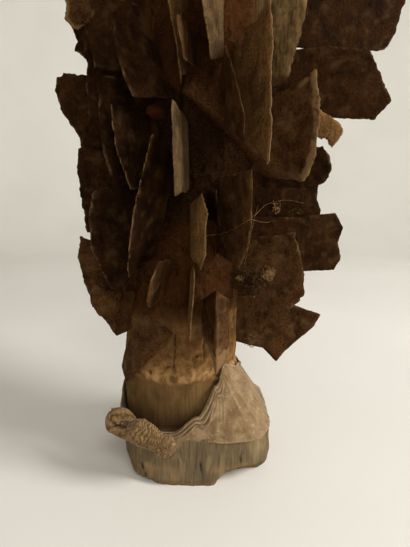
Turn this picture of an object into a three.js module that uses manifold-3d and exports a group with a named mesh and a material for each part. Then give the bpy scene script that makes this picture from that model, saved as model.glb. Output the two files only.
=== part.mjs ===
// A nail fetish figure: a carved wooden figure on a small plinth, studded with sheet-iron blades,
// with a knotted cloth round its foot. Millimetres, +Z up, the front looks along -Y, and the origin
// is under the middle of the plinth.
import * as THREE from "three";
import { mergeVertices } from "three/addons/utils/BufferGeometryUtils.js";
import Module from "manifold-3d";

const wasm = await Module();
wasm.setup();

const radians = THREE.MathUtils.degToRad;

// Driving dimensions
const TOTAL_HEIGHT = 690;
const SHOULDER_TOP = 508;
const HEAD_HEIGHT = 165;
const BLADE_THICKNESS = 1.3;
const TANG_DEPTH = 8;
const SLOT_CLEARANCE = 0.35;
const CLOTH_THICKNESS = 2.2;
const CLOTH_GAP = 1.2;

// The trunk's sections from the underside up: height, centre x and y, half width, half depth, squareness.
const TRUNK = [
  [0, 2.5, 0, 56, 59, 3.4],
  [5, 1.5, 0, 60, 60, 4],
  [16, 1.2, 0, 62.2, 58.5, 4.6],
  [40, 0, -1, 62, 56, 5.5],
  [44, -3, 2, 59, 51, 3.6],
  [53, -6, 2, 57, 50, 2.8],
  [74, -12, 1, 51.5, 48.5, 2.3],
  [90, -14, 0, 48.5, 47.5, 2.1],
  [104, -13, 0, 49, 47.5, 2.1],
  [128, -12, 0, 47.5, 46, 2],
  [160, -8, 0, 45, 45, 2],
  [200, -4, 0, 45, 45, 2],
  [240, 1, 0, 46, 45, 2],
  [280, 6, 0, 48, 47, 2.1],
  [320, 10, 0, 50, 48, 2.1],
  [360, 13, 0, 51, 47, 2.2],
  [400, 15, 1, 52, 45, 2.3],
  [440, 16, 2, 57, 43, 2.3],
  [470, 16, 3, 61, 41, 2.3],
  [488, 16, 3, 54, 37, 2.2],
  [500, 16, 3, 40, 33, 2],
  [SHOULDER_TOP, 16, 3, 31, 31, 2],
];
const TRUNK_SIDES = 20;
// Turns the sides so that one falls on each corner of the plinth.
const TRUNK_SIDES_TURN = 9;
const PLINTH_EDGE_ROW = 3;

const HEAD = { x: 16, y: 0, chin: TOTAL_HEIGHT - HEAD_HEIGHT };

const wood = () => new THREE.MeshStandardMaterial({ color: 0x86684a, roughness: 0.85, metalness: 0 });
const cloth = () => new THREE.MeshStandardMaterial({ color: 0x9a8265, roughness: 0.95, metalness: 0 });
const iron = () => new THREE.MeshStandardMaterial({ color: 0x3d2b1c, roughness: 0.75, metalness: 0.4 });

// Solids: a closed geometry, placed by a matrix, becomes a solid that can be joined or cut.
function solidOf(geometry, matrix = new THREE.Matrix4()) {
  const bare = geometry.clone().applyMatrix4(matrix);
  bare.deleteAttribute("normal");
  bare.deleteAttribute("uv");
  const merged = mergeVertices(bare, 1e-3);
  return new wasm.Manifold(
    new wasm.Mesh({
      numProp: 3,
      vertProperties: new Float32Array(merged.attributes.position.array),
      triVerts: new Uint32Array(merged.index.array),
    }),
  );
}

function geometryOf(solid) {
  const mesh = solid.getMesh();
  const geometry = new THREE.BufferGeometry();
  geometry.setAttribute("position", new THREE.BufferAttribute(new Float32Array(mesh.vertProperties), 3));
  geometry.setIndex(new THREE.BufferAttribute(new Uint32Array(mesh.triVerts), 1));
  geometry.computeVertexNormals();
  return geometry;
}

// Moves every vertex of a geometry by a function of its place.
function reshape(geometry, place) {
  const position = geometry.attributes.position;
  const at = new THREE.Vector3();
  for (let i = 0; i < position.count; i++) {
    at.fromBufferAttribute(position, i);
    const moved = place(at);
    position.setXYZ(i, moved.x, moved.y, moved.z);
  }
  return geometry;
}

// A repeatable number from -0.5 to 0.5 for a seed and two counters.
function chance(seed, i, j = 0) {
  const wave = Math.sin(seed * 12.9898 + i * 78.233 + j * 37.719) * 43758.5453;
  return wave - Math.floor(wave) - 0.5;
}

// The trunk's surface. A bearing of 0 is the front, 90 the right as seen from the front.
function trunkSection(z) {
  let upper = TRUNK.findIndex((row) => row[0] >= z);
  if (upper === -1) upper = TRUNK.length - 1;
  if (upper === 0) upper = 1;
  const low = TRUNK[upper - 1];
  const high = TRUNK[upper];
  const t = THREE.MathUtils.clamp((z - low[0]) / (high[0] - low[0]), 0, 1);
  const mix = (k) => THREE.MathUtils.lerp(low[k], high[k], t);
  return { x: mix(1), y: mix(2), halfWidth: mix(3), halfDepth: mix(4), squareness: mix(5) };
}

// How far the wood reaches from a section's centre along a unit direction.
function trunkReach(section, dx, dy) {
  const p = section.squareness;
  const sum = Math.abs(dx / section.halfWidth) ** p + Math.abs(dy / section.halfDepth) ** p;
  return sum ** (-1 / p);
}

function trunkPoint(bearing, z, outward = 0) {
  const section = trunkSection(z);
  const dx = Math.sin(radians(bearing));
  const dy = -Math.cos(radians(bearing));
  const reach = trunkReach(section, dx, dy) + outward;
  return new THREE.Vector3(section.x + dx * reach, section.y + dy * reach, z);
}

function trunkSolid(outward = 0) {
  const rows = TRUNK.length - 1;
  const turn = radians(TRUNK_SIDES_TURN);
  const cylinder = new THREE.CylinderGeometry(1, 1, rows, TRUNK_SIDES, rows, false, turn);
  cylinder.rotateX(Math.PI / 2);
  return solidOf(
    reshape(cylinder, (at) => {
      const [z] = TRUNK[Math.round(at.z + rows / 2)];
      const section = trunkSection(z);
      const radius = Math.hypot(at.x, at.y);
      if (radius < 0.5) return new THREE.Vector3(section.x, section.y, z);
      const reach = trunkReach(section, at.x / radius, at.y / radius) + outward;
      return new THREE.Vector3(section.x + at.x * reach, section.y + at.y * reach, z);
    }),
  );
}

// A rounded limb along a smooth line through points, with its radius eased between the given ones.
function limb(points, radii, sides = 10, rows = 9) {
  const line = new THREE.CatmullRomCurve3(points.map((p) => new THREE.Vector3(...p)));
  const frames = line.computeFrenetFrames(rows, false);
  const cylinder = new THREE.CylinderGeometry(1, 1, rows, sides, rows);
  return solidOf(
    reshape(cylinder, (at) => {
      const row = Math.round(at.y + rows / 2);
      const t = row / rows;
      const span = t * (radii.length - 1);
      const k = Math.min(Math.floor(span), radii.length - 2);
      const radius = THREE.MathUtils.lerp(radii[k], radii[k + 1], span - k);
      return line
        .getPoint(t)
        .addScaledVector(frames.normals[row], at.z * radius)
        .addScaledVector(frames.binormals[row], at.x * radius);
    }),
  );
}

function blob(x, y, z, rx, ry, rz, across = 14, up = 10, turn = 0) {
  const matrix = new THREE.Matrix4().makeTranslation(x, y, z);
  matrix.multiply(new THREE.Matrix4().makeRotationY(radians(turn)));
  matrix.multiply(new THREE.Matrix4().makeScale(rx, ry, rz));
  const sphere = new THREE.SphereGeometry(1, across, up);
  sphere.rotateX(Math.PI / 2);
  return solidOf(sphere, matrix);
}

function block(x, y, z, wide, deep, high, turn = 0) {
  const matrix = new THREE.Matrix4().makeTranslation(x, y, z);
  matrix.multiply(new THREE.Matrix4().makeRotationY(radians(turn)));
  return solidOf(new THREE.BoxGeometry(wide, deep, high), matrix);
}

// The head: calm and plain, with lowered lids, broad nose, closed lips, small ears and a smooth cap.
function headSolid() {
  const eyeLine = HEAD.chin + HEAD_HEIGHT / 2;
  const noseBase = HEAD.chin + HEAD_HEIGHT * 0.3;
  const lipLine = HEAD.chin + HEAD_HEIGHT * 0.19;
  const capEdge = eyeLine + 32;
  const { x, y } = HEAD;
  let head = blob(x, y + 4, eyeLine + 14, 50, 57, TOTAL_HEIGHT - eyeLine - 16, 14, 8);
  head = head.add(blob(x, y - 5, HEAD.chin + 50, 43, 47, 50, 14, 8));
  const capDome = blob(x, y + 6, capEdge - 8, 54, 61, TOTAL_HEIGHT - capEdge + 8, 14, 8);
  head = head.add(capDome.subtract(block(x, y, capEdge - 60, 200, 200, 120)));
  const neck = [
    [x, y + 4, SHOULDER_TOP - 12],
    [x, y + 4, SHOULDER_TOP + 10],
    [x, y + 4, HEAD.chin + 26],
  ];
  head = head.add(limb(neck, [35, 32, 34], 12, 3));
  for (const side of [-1, 1]) {
    const eyeX = x + side * 19;
    const brow = [
      [x + side * 4, y - 51, eyeLine + 13],
      [eyeX, y - 51, eyeLine + 19],
      [x + side * 38, y - 38, eyeLine + 9],
    ];
    head = head.add(limb(brow, [4, 5, 3], 5, 3));
    head = head.add(blob(eyeX, y - 46, eyeLine, 13, 8, 8, 8, 6));
    head = head.subtract(block(eyeX, y - 54, eyeLine - 2, 20, 3.4, 1.8, side * 4));
    head = head.add(blob(x + side * 50, y + 6, eyeLine - 12, 7, 13, 21, 8, 5));
    head = head.subtract(blob(x + side * 57, y + 4, eyeLine - 11, 4, 7, 13, 6, 4));
    head = head.add(blob(x + side * 8.5, y - 54, noseBase + 6, 7, 8, 6.5, 6, 4));
  }
  const nose = [
    [x, y - 51, eyeLine + 10],
    [x, y - 56, eyeLine - 12],
    [x, y - 60, noseBase + 8],
  ];
  head = head.add(limb(nose, [4, 6, 8], 6, 4));
  head = head.add(blob(x, y - 46, lipLine + 4.6, 18, 8, 5.6, 8, 5));
  head = head.add(blob(x, y - 44, lipLine - 5, 16, 8, 6, 8, 5));
  return head.add(blob(x, y - 31, HEAD.chin + 13, 19, 15, 13, 8, 6));
}

// Both arms are held close. The one on the right hangs forward with its fist on the belly, the other
// is bent up with its hand on the chest.
function hangingArm() {
  const line = [
    [66, 2, 452],
    [75, -14, 405],
    [70, -36, 355],
    [64, -43, 322],
  ];
  const arm = limb(line, [16, 14, 11.5, 9.5], 8, 4);
  return arm.add(blob(62, -42, 321, 11, 11.5, 15, 8, 6));
}

function bentArm() {
  const elbow = [-37, -10, 398];
  const upper = limb([[-34, 2, 452], elbow], [16, 13], 8, 2);
  const lower = limb([elbow, [-21, -36, 410], [0, -46, 420]], [12, 10, 9], 8, 3);
  return upper.add(blob(...elbow, 13, 13, 13, 8, 6)).add(lower).add(blob(3, -46, 420, 12, 6, 9, 8, 6));
}

// The underside has rotted away at the front right corner.
const PLINTH_CHIP = { x: 46, y: -59, z: -3, rx: 31, ry: 25, rz: 19 };

function figureSolid() {
  let figure = trunkSolid().add(headSolid());
  figure = figure.add(hangingArm()).add(bentArm());
  const chip = PLINTH_CHIP;
  return figure.subtract(blob(chip.x, chip.y, chip.z, chip.rx, chip.ry, chip.rz, 12, 8));
}

// The cloth lies from the plinth's top edge up to a rim. The rim droops at the front left and is drawn
// up at the right.
const CLOTH_CENTRE = { x: -6, y: 0 };
const CLOTH_HEM_Z = 37;
const CLOTH_BEND_Z = 42;
// Where the rim stands off the wood by more than this, the cloth hangs free of it.
const CLOTH_FREE_OFF = 4;
const CLOTH_REACH_SAMPLES = [-6, -3, 0, 3, 6];
// The rim by bearing from the cloth's centre: bearing, height, distance the rim stands off the wood.
const CLOTH_RIM = [
  [-180, 74, 2],
  [-120, 66, 2],
  [-80, 58, 3],
  [-45, 47, 6],
  [-12, 46, 6],
  [8, 58, 5],
  [26, 80, 3],
  [40, 95, 1.5],
  [70, 91, 1.5],
  [110, 84, 1.5],
  [180, 74, 2],
];
// The knot's lobes: share of the way along it, and radius.
const KNOT_LOBES = [[0, 10.5], [0.34, 12.5], [0.7, 11.5], [1, 8.5]];
const CLOTH_SIDES = 36;
const CLOTH_PROFILE_STEPS = 3;

function clothRim(bearing) {
  const upper = Math.max(1, CLOTH_RIM.findIndex((row) => row[0] >= bearing - 1e-6));
  const low = CLOTH_RIM[upper - 1];
  const high = CLOTH_RIM[upper];
  const t = (bearing - low[0]) / (high[0] - low[0]);
  const eased = THREE.MathUtils.smoothstep(t, 0, 1);
  const mix = (k) => THREE.MathUtils.lerp(low[k], high[k], eased);
  return { z: mix(1), off: mix(2) };
}

// The wood's distance from the cloth's centre at a bearing and height, found by halving.
function woodFromClothCentre(dx, dy, z) {
  const section = trunkSection(z);
  let inside = 0;
  let outside = 120;
  for (let i = 0; i < 24; i++) {
    const middle = (inside + outside) / 2;
    const px = CLOTH_CENTRE.x + dx * middle - section.x;
    const py = CLOTH_CENTRE.y + dy * middle - section.y;
    const length = Math.hypot(px, py) || 1;
    if (length < trunkReach(section, px / length, py / length)) inside = middle;
    else outside = middle;
  }
  return inside;
}

function clothSolid() {
  const steps = CLOTH_PROFILE_STEPS;
  const around = 2 * (steps + 1);
  const torus = new THREE.TorusGeometry(2, 1, around, CLOTH_SIDES);
  const wrap = reshape(torus, (at) => {
    const flat = Math.hypot(at.x, at.y);
    const dx = at.x / flat;
    const dy = at.y / flat;
    const bearing = THREE.MathUtils.radToDeg(Math.atan2(dx, -dy));
    let turn = Math.atan2(at.z, flat - 2) / (2 * Math.PI);
    turn = Math.round((turn < -1e-6 ? turn + 1 : turn) * around) % around;
    const outer = turn <= steps;
    const s = outer ? turn / steps : (around - 1 - turn) / steps;
    const rim = clothRim(bearing);
    const above = Math.max(0, (s * steps - 1) / (steps - 1));
    const z = s === 0 ? CLOTH_HEM_Z : THREE.MathUtils.lerp(CLOTH_BEND_Z, rim.z, above);
    const edgeReach = woodFromClothCentre(dx, dy, TRUNK[PLINTH_EDGE_ROW][0]) + CLOTH_GAP;
    const rimReach = woodFromClothCentre(dx, dy, rim.z) + rim.off;
    const tented = THREE.MathUtils.lerp(edgeReach, rimReach, above);
    const reaches = CLOTH_REACH_SAMPLES.map((dz) => woodFromClothCentre(dx, dy, z + dz));
    const wooden = Math.max(...reaches) + CLOTH_GAP;
    const hangsFree = above > 0 && rim.off > CLOTH_FREE_OFF;
    const inner = hangsFree ? tented : Math.max(tented, wooden);
    const reach = inner + (outer ? CLOTH_THICKNESS : 0);
    return new THREE.Vector3(CLOTH_CENTRE.x + dx * reach, CLOTH_CENTRE.y + dy * reach, z);
  });
  const knotStart = new THREE.Vector3(-50, -56, 56);
  const knotEnd = new THREE.Vector3(-31, -64, 36);
  let knot = limb([[-50, -54, 53], [-60, -51, 54], [-70, -50, 54]], [7, 8.5, 8, 4], 7, 3);
  for (const [t, radius] of KNOT_LOBES) {
    const at = knotStart.clone().lerp(knotEnd, t);
    knot = knot.add(blob(at.x, at.y, at.z, radius * 1.1, radius * 0.72, radius, 8, 5));
  }
  return solidOf(wrap).add(knot.subtract(trunkSolid(CLOTH_GAP)));
}

// The blades. Each row: name, root height, bearing, reach out of the wood, root width, end width, how
// much higher the end's middle is than the root's, and a shape that may turn the plate about its root
// (yaw), lean it (lean), curl it, twist its end, fold it, or give its ragged end's reach as shares from
// bottom to top (end).
const BLADES = [
  ["blade_right_top", 372, 92, 108, 50, 56, 4, { end: [0.86, 0.93, 0.96, 1, 0.98], curl: 5 }],
  ["blade_right_upper", 319, 86, 97, 52, 54, -2, { end: [0.86, 1, 0.93, 0.85, 0.8], curl: -4 }],
  ["blade_right_middle", 190, 90, 89, 44, 53, 0, { end: [0.93, 1, 0.96, 1, 0.92], curl: 4 }],
  ["blade_right_low", 125, 80, 72, 44, 44, -15, { end: [0.5, 0.6, 0.76, 0.92, 1], curl: -3 }],
  ["blade_right_front_low", 175, 61, 59, 46, 62, -5, { end: [0.78, 1, 0.97, 0.91, 0.82], curl: 3 }],
  ["blade_right_leaf", 301, 75, 61, 20, 22, -25, { end: [0.86, 0.94, 1, 1, 0.94], curl: 5 }],
  ["blade_right_stub", 253, 79, 62, 34, 34, 0, { end: [0.8, 0.98, 1, 0.97, 0.84] }],
  ["blade_right_short", 227, 96, 69, 31, 33, 0, {}],
  ["blade_front_right_long", 304, 25, 46, 62, 96, -7, { yaw: 6, end: [0.94, 1, 1, 1, 0.94], curl: -3 }],
  ["blade_front_right_broad", 274, 62, 50, 52, 77, 5, { end: [0.82, 0.97, 1, 0.98, 0.92], curl: -4 }],
  ["blade_front_right_dark", 212, 27, 54, 56, 70, 0, { end: [0.72, 0.92, 1, 1, 0.98], curl: -5 }],
  ["blade_front_right_folded", 140, 22, 26, 34, 63, -10, { fold: 16 }],
  ["blade_front_bright", 352, 10, 50, 58, 74, 0, { yaw: -25, end: [0.6, 0.9, 1, 1, 1], curl: -2 }],
  ["blade_front_strip", 293, 17, 46, 42, 58, 0, { yaw: -8, twist: -8, end: [0.7, 1, 1, 1, 0.9] }],
  ["blade_front_plate", 258, -9, 50, 50, 59, 0, { end: [1, 0.97, 1, 0.98, 0.94] }],
  ["blade_front_leaf", 204, 0, 40, 40, 56, 0, { yaw: 14, end: [0.5, 0.95, 0.9, 1, 0.6], curl: 4 }],
  ["blade_front_low", 154, 6, 34, 44, 51, 0, { lean: -4 }],
  ["blade_front_small", 222, 14, 30, 24, 28, 0, {}],
  ["blade_front_left_tall", 344, -20, 46, 66, 78, 0, { yaw: 2, end: [0.15, 0.45, 0.7, 0.94, 1] }],
  ["blade_front_left_narrow", 325, -11, 50, 20, 24, 0, { end: [0.7, 0.9, 1, 1, 0.9] }],
  ["blade_front_left_slant", 318, -39, 44, 46, 56, 0, { lean: 18, end: [0.9, 1, 1, 1, 0.9] }],
  ["blade_front_left_edge", 277, -51, 44, 58, 72, 0, { lean: 6, end: [0.88, 0.97, 1, 1, 0.97] }],
  ["blade_front_left_inner", 263, -40, 42, 48, 56, 0, { lean: 8, end: [0.8, 0.92, 1, 1, 0.97] }],
  ["blade_front_left_dark", 203, -52, 46, 60, 84, -12, { yaw: -8, end: [0.5, 0.8, 0.97, 1, 0.9] }],
  ["blade_front_left_swept", 222, -27, 40, 76, 102, 0, { lean: -14, end: [0.85, 1, 1, 0.94, 0.8] }],
  ["blade_front_left_sliver", 167, -17, 37, 34, 40, 0, { lean: -12, end: [0.8, 0.97, 1, 0.95, 0.8] }],
  ["blade_left_low_corner", 136, -63, 35, 34, 44, 4, { end: [0.3, 0.68, 0.94, 1, 0.95] }],
  ["blade_left_top", 380, -92, 68, 34, 42, 0, { end: [0.9, 1, 0.97, 1, 0.94] }],
  ["blade_left_lobe", 349, -86, 58, 26, 28, 0, { end: [0.8, 1, 0.94, 1, 0.86] }],
  ["blade_left_ragged", 297, -92, 74, 44, 66, 0, { end: [0.74, 0.77, 0.93, 1, 0.94], curl: 4 }],
  ["blade_left_middle", 233, -80, 51, 52, 76, 0, { end: [0.9, 0.93, 0.97, 1, 0.98], curl: -3 }],
  ["blade_left_low", 160, -84, 48, 44, 70, 2, { end: [0.6, 0.82, 0.93, 1, 0.92], curl: 3 }],
  ["blade_left_behind", 312, -76, 47, 60, 66, 0, {}],
  ["blade_left_upper", 345, -62, 48, 46, 52, 0, { curl: -3 }],
];

// Plainer blades where the photograph does not reach: round the back, and on the chest above.
const BACK_BLADES = [
  [150, [118, 160, 205, 246], 44, 46],
  [210, [115, 150, 190, 232], 50, 54],
  [272, [122, 164, 208, 248], 52, 56],
  [338, [122, 180, 236], 50, 54],
];
const CHEST_BLADES = [
  [404, [8, 36], 44, 40],
  [446, [-36, 180], 44, 36],
  [428, [84, -84], 40, 36],
];

// A plate is a grid of columns from the tang outwards and rows from the lower edge up. Plainer blades
// have fewer.
const PLATE_COLUMNS = 3;
const PLATE_ROWS = 4;
const PLAIN_COLUMNS = 2;
const PLAIN_ROWS = 3;
const FIRST_COLUMN = 12;
const SHORTEST_PAST_FIRST = 3;
const CLEAR_OF_WOOD = 200;
const TANG_NARROWING = 0.86;
const EDGE_RAGGEDNESS = 5;
const END_RAGGEDNESS = 0.14;
const WARP = 2.2;

// A folded blade turns back on itself at its third column. Its tip hangs lowest at the ridge.
const FOLD_TURN = 120;
const FOLD_END_SHARE = 0.62;

function foldedPoint({ reach, endWidth, rise, seed, rows, fold }, past, row) {
  const t = (row / rows) * 2 - 1;
  const share = THREE.MathUtils.lerp(1, FOLD_END_SHARE, past);
  const upper = t > 0 ? 1 : share;
  const edge = Math.abs(t) === 1 ? chance(seed, past, row) * EDGE_RAGGEDNESS * 0.4 : 0;
  return new THREE.Vector3(
    reach + past * fold * Math.cos(radians(FOLD_TURN)),
    past * fold * Math.sin(radians(FOLD_TURN)),
    (t * endWidth * upper) / 2 + rise + edge,
  );
}

// The direction a blade's thickness is measured in, lengthened at a fold's ridge so that both sides meet.
function plateNormal({ fold = 0 }, column) {
  if (!fold || column < 2) return new THREE.Vector3(0, 1, 0);
  const atRidge = column === 2;
  const turn = radians(atRidge ? FOLD_TURN / 2 : FOLD_TURN);
  const length = atRidge ? 1 / Math.cos(turn) : 1;
  return new THREE.Vector3(-Math.sin(turn), Math.cos(turn), 0).multiplyScalar(length);
}

// The place of one grid point of a blade: out of the wood, across the plate and up.
function platePoint(blade, column, row) {
  const { reach, rootWidth, endWidth, rise, seed, end, columns, rows } = blade;
  const { curl = 0, twist = 0, fold = 0 } = blade;
  if (fold && column > 1) return foldedPoint(blade, column - 2, row);
  const tang = column === 0;
  const t = (row / rows) * 2 - 1;
  const outwards = (column - 1) / (columns - 1);
  const s = tang ? 0 : THREE.MathUtils.lerp(FIRST_COLUMN / reach, 1, outwards);
  const width = THREE.MathUtils.lerp(rootWidth, endWidth, s) * (tang ? TANG_NARROWING : 1);
  const edge = Math.abs(t) === 1 && !tang ? chance(seed, column, row) * EDGE_RAGGEDNESS : 0;
  const share = end ? end[row] : 1 - END_RAGGEDNESS * (chance(seed, 9, row) + 0.5);
  const tip = Math.max(reach * share, FIRST_COLUMN + SHORTEST_PAST_FIRST);
  const point = new THREE.Vector3(
    tang ? -TANG_DEPTH : THREE.MathUtils.lerp(FIRST_COLUMN, tip, outwards),
    tang ? 0 : curl * s * s + chance(seed, column, 5) + (twist + WARP * chance(seed, 3)) * t * s,
    (t * width) / 2 + rise * s * s + edge,
  );
  return point;
}

function plateGeometry(blade) {
  const { columns, rows } = blade;
  const box = new THREE.BoxGeometry(columns, 2, rows, columns, 1, rows);
  return reshape(box, (at) => {
    const column = Math.round(at.x + columns / 2);
    const point = platePoint(blade, column, Math.round(at.z + rows / 2));
    return point.addScaledVector(plateNormal(blade, column), (at.y * BLADE_THICKNESS) / 2);
  });
}

// The slot that a blade's tang sits in: the plate's first column of cells, a little larger all round.
function slotGeometry(blade) {
  return reshape(new THREE.BoxGeometry(2, 2, 2), (at) => {
    const point = platePoint(blade, at.x < 0 ? 0 : 1, at.z < 0 ? 0 : blade.rows);
    if (at.x < 0) point.x -= SLOT_CLEARANCE;
    point.y += at.y * (BLADE_THICKNESS / 2 + SLOT_CLEARANCE);
    point.z += at.z * SLOT_CLEARANCE;
    return point;
  });
}

// The outermost wood in the way of a line that runs in from a bearing at a height.
function woodSurface(target, bearing, z) {
  const section = trunkSection(z);
  const centre = new THREE.Vector3(section.x, section.y, z);
  const inwards = new THREE.Vector3(-Math.sin(radians(bearing)), Math.cos(radians(bearing)), 0);
  const start = centre.clone().addScaledVector(inwards, -CLEAR_OF_WOOD);
  return new THREE.Raycaster(start, inwards).intersectObject(target)[0].point;
}

function placeBlade(mesh, blade, target) {
  const { z, bearing, yaw = 0, lean = 0 } = blade;
  mesh.position.copy(woodSurface(target, bearing, z));
  mesh.rotation.set(radians(lean), 0, radians(bearing + yaw - 90), "ZYX");
  mesh.updateMatrixWorld(true);
}

function allBlades() {
  const list = BLADES.map(([name, z, bearing, reach, rootWidth, endWidth, rise, shape], i) => {
    const grid = { columns: PLATE_COLUMNS, rows: PLATE_ROWS };
    return { name, z, bearing, reach, rootWidth, endWidth, rise, seed: i + 1, ...grid, ...shape };
  });
  const rest = (rows, label) => {
    let count = 0;
    for (const [z, bearings, reach, width] of rows) {
      for (const bearing of bearings) {
        count += 1;
        const seed = list.length + 1;
        const vary = (k, by) => chance(seed, 20 + k) * by;
        list.push({
          name: `${label}_${count}`,
          z: z + vary(1, 14),
          bearing,
          reach: reach + vary(2, 16),
          rootWidth: width * 0.84,
          endWidth: width + vary(3, 12),
          rise: vary(4, 8),
          lean: vary(5, 14),
          curl: vary(6, 10),
          seed,
          columns: PLAIN_COLUMNS,
          rows: PLAIN_ROWS,
        });
      }
    }
  };
  rest(BACK_BLADES, "blade_back");
  rest(CHEST_BLADES, "blade_chest");
  return list;
}

// One long blade has been bent down flat against the column. It follows the wood from its tang downwards.
const BENT_BLADE = {
  top: 138.5,
  bottom: 82,
  topBearing: -17,
  bottomBearing: -60,
  width: 30,
  steps: 7,
  endShare: 0.45,
};
const BENT_TANG_DEPTH = 6;
const BENT_SLOT_CLEARANCE = 0.7;
const BENT_LIFT = 3.4;
const BENT_END_LIFT = 4;

function bentBladeGeometry(steps = BENT_BLADE.steps, extra = 0) {
  const { top, bottom, topBearing, bottomBearing, width, endShare } = BENT_BLADE;
  const box = new THREE.BoxGeometry(2, 2, steps, 2, 1, steps);
  return reshape(box, (at) => {
    const step = Math.round(steps / 2 - at.z);
    const s = step / BENT_BLADE.steps;
    const z = THREE.MathUtils.lerp(top, bottom, s) + (step === 0 ? extra : 0);
    const half = (width * THREE.MathUtils.lerp(1, endShare, s * s)) / 2 + extra;
    const middle = THREE.MathUtils.lerp(topBearing, bottomBearing, s);
    const swing = THREE.MathUtils.radToDeg((half * 0.84) / trunkSection(z).halfDepth);
    const onWood = THREE.MathUtils.lerp(BENT_LIFT, BENT_END_LIFT, s);
    const lift = step === 0 ? -BENT_TANG_DEPTH - extra : onWood;
    const outward = lift + at.y * (BLADE_THICKNESS / 2 + extra);
    return trunkPoint(middle - at.x * swing, z + at.x * half * 0.54, outward);
  });
}

const object = new THREE.Group();
let figure = figureSolid();
const uncut = new THREE.Mesh(geometryOf(figure), wood());

for (const blade of allBlades()) {
  const mesh = new THREE.Mesh(plateGeometry(blade), iron());
  mesh.name = blade.name;
  placeBlade(mesh, blade, uncut);
  figure = figure.subtract(solidOf(slotGeometry(blade), mesh.matrixWorld));
  object.add(mesh);
}

const bent = new THREE.Mesh(bentBladeGeometry(), iron());
bent.name = "blade_bent_down";
figure = figure.subtract(solidOf(bentBladeGeometry(1, BENT_SLOT_CLEARANCE)));
object.add(bent);

const figureMesh = new THREE.Mesh(geometryOf(figure), wood());
figureMesh.name = "figure";
object.add(figureMesh);

const clothMesh = new THREE.Mesh(geometryOf(clothSolid()), cloth());
clothMesh.name = "cloth_wrap";
object.add(clothMesh);

export default object;
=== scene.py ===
# A nail fetish figure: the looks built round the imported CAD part.
# Metres, +Z up, the front looks along -Y. MM turns millimetres into metres.
import math
from types import SimpleNamespace

import bpy
import numpy as np
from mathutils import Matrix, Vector
from mathutils.bvhtree import BVHTree


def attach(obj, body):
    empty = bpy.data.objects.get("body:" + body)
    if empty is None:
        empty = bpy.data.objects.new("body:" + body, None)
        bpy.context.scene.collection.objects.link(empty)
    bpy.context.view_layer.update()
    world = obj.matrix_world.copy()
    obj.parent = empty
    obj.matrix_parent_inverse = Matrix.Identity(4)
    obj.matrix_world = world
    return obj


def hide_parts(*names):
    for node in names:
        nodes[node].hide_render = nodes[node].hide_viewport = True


MM = 0.001
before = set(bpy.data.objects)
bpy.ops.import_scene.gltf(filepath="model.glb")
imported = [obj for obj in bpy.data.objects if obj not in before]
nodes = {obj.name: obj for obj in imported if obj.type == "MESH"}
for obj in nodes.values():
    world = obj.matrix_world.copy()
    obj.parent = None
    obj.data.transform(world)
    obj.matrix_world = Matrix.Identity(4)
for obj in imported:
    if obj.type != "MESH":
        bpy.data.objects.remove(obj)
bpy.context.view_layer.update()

# The photograph's camera: its place, its pitch below the horizon and its upright field of view.
CAMERA_PLACE = Vector((8, -355, 226)) * MM
CAMERA_PITCH = math.radians(10)
IMAGE_WIDE, IMAGE_HIGH = 410, 547
FOCAL_PIXELS = 411

# Noise of several sizes, each half the one before, has this many of them.
ROUGH_SIZES = 3
BUMP_STRENGTH = 0.6

BLADE_THICKNESS = 1.3
CLOTH_GAP = 0.8
CLOTH_THICKNESS = 1.1


# Colours and noise

def linear(red, green, blue):
    """A screen colour, 0 to 255, as the linear colour that a shader takes."""
    def one(c):
        c = c / 255
        return c / 12.92 if c <= 0.04045 else ((c + 0.055) / 1.055) ** 2.4
    return (one(red), one(green), one(blue), 1)


def lattice(ix, iy, iz, seed):
    """A repeatable number from -1 to 1 for each whole-numbered place."""
    n = ix * 374761393 + iy * 668265263 + iz * 1440662683 + seed * 1274126177
    n = (n ^ (n >> 13)) & 0xFFFFFFFF
    n = (n * 1103515245) & 0xFFFFFFFF
    n = (n ^ (n >> 16)) & 0xFFFFFFFF
    return n / 0x7FFFFFFF - 1


def lumps(points, size, seed):
    """Smooth noise from -1 to 1 at points in millimetres, with lumps about that size."""
    p = points / size + 1000
    low = np.floor(p).astype(np.int64)
    f = p - low
    f = f * f * (3 - 2 * f)
    total = 0
    for dx in (0, 1):
        for dy in (0, 1):
            for dz in (0, 1):
                weight = (
                    (f[..., 0] if dx else 1 - f[..., 0])
                    * (f[..., 1] if dy else 1 - f[..., 1])
                    * (f[..., 2] if dz else 1 - f[..., 2])
                )
                corner = low + (dx, dy, dz)
                total = total + weight * lattice(corner[..., 0], corner[..., 1], corner[..., 2], seed)
    return total


def rough(points, size, seed):
    """Noise of several sizes, each half the one before."""
    total, height = 0, 0.5
    for k in range(ROUGH_SIZES):
        total = total + height * lumps(points, size / 2**k, seed + 7 * k)
        height /= 2
    return total


def ease(low, high, x):
    """0 below low, 1 above high, and smooth between."""
    t = np.clip((x - low) / (high - low), 0, 1)
    return t * t * (3 - 2 * t)


def within(limits, x):
    """1 between the two inner limits, 0 outside the two outer ones, and smooth between."""
    outer_low, inner_low, inner_high, outer_high = limits
    return ease(outer_low, inner_low, x) * (1 - ease(inner_high, outer_high, x))


def pile(points, rows, kind=rough, number=0):
    """Several noises added up. Each row is a height, a size and a seed, to which the number is added."""
    return sum(height * kind(points, size, seed + number) for height, size, seed in rows)


def unit(rows):
    """Each row of numbers, made one long."""
    return rows / np.maximum(np.linalg.norm(rows, axis=1), 1e-9)[:, None]


# Meshes

def points_of(mesh):
    """A mesh's points, in millimetres."""
    places = np.zeros(len(mesh.vertices) * 3)
    mesh.vertices.foreach_get("co", places)
    return places.reshape(-1, 3) / MM


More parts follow.
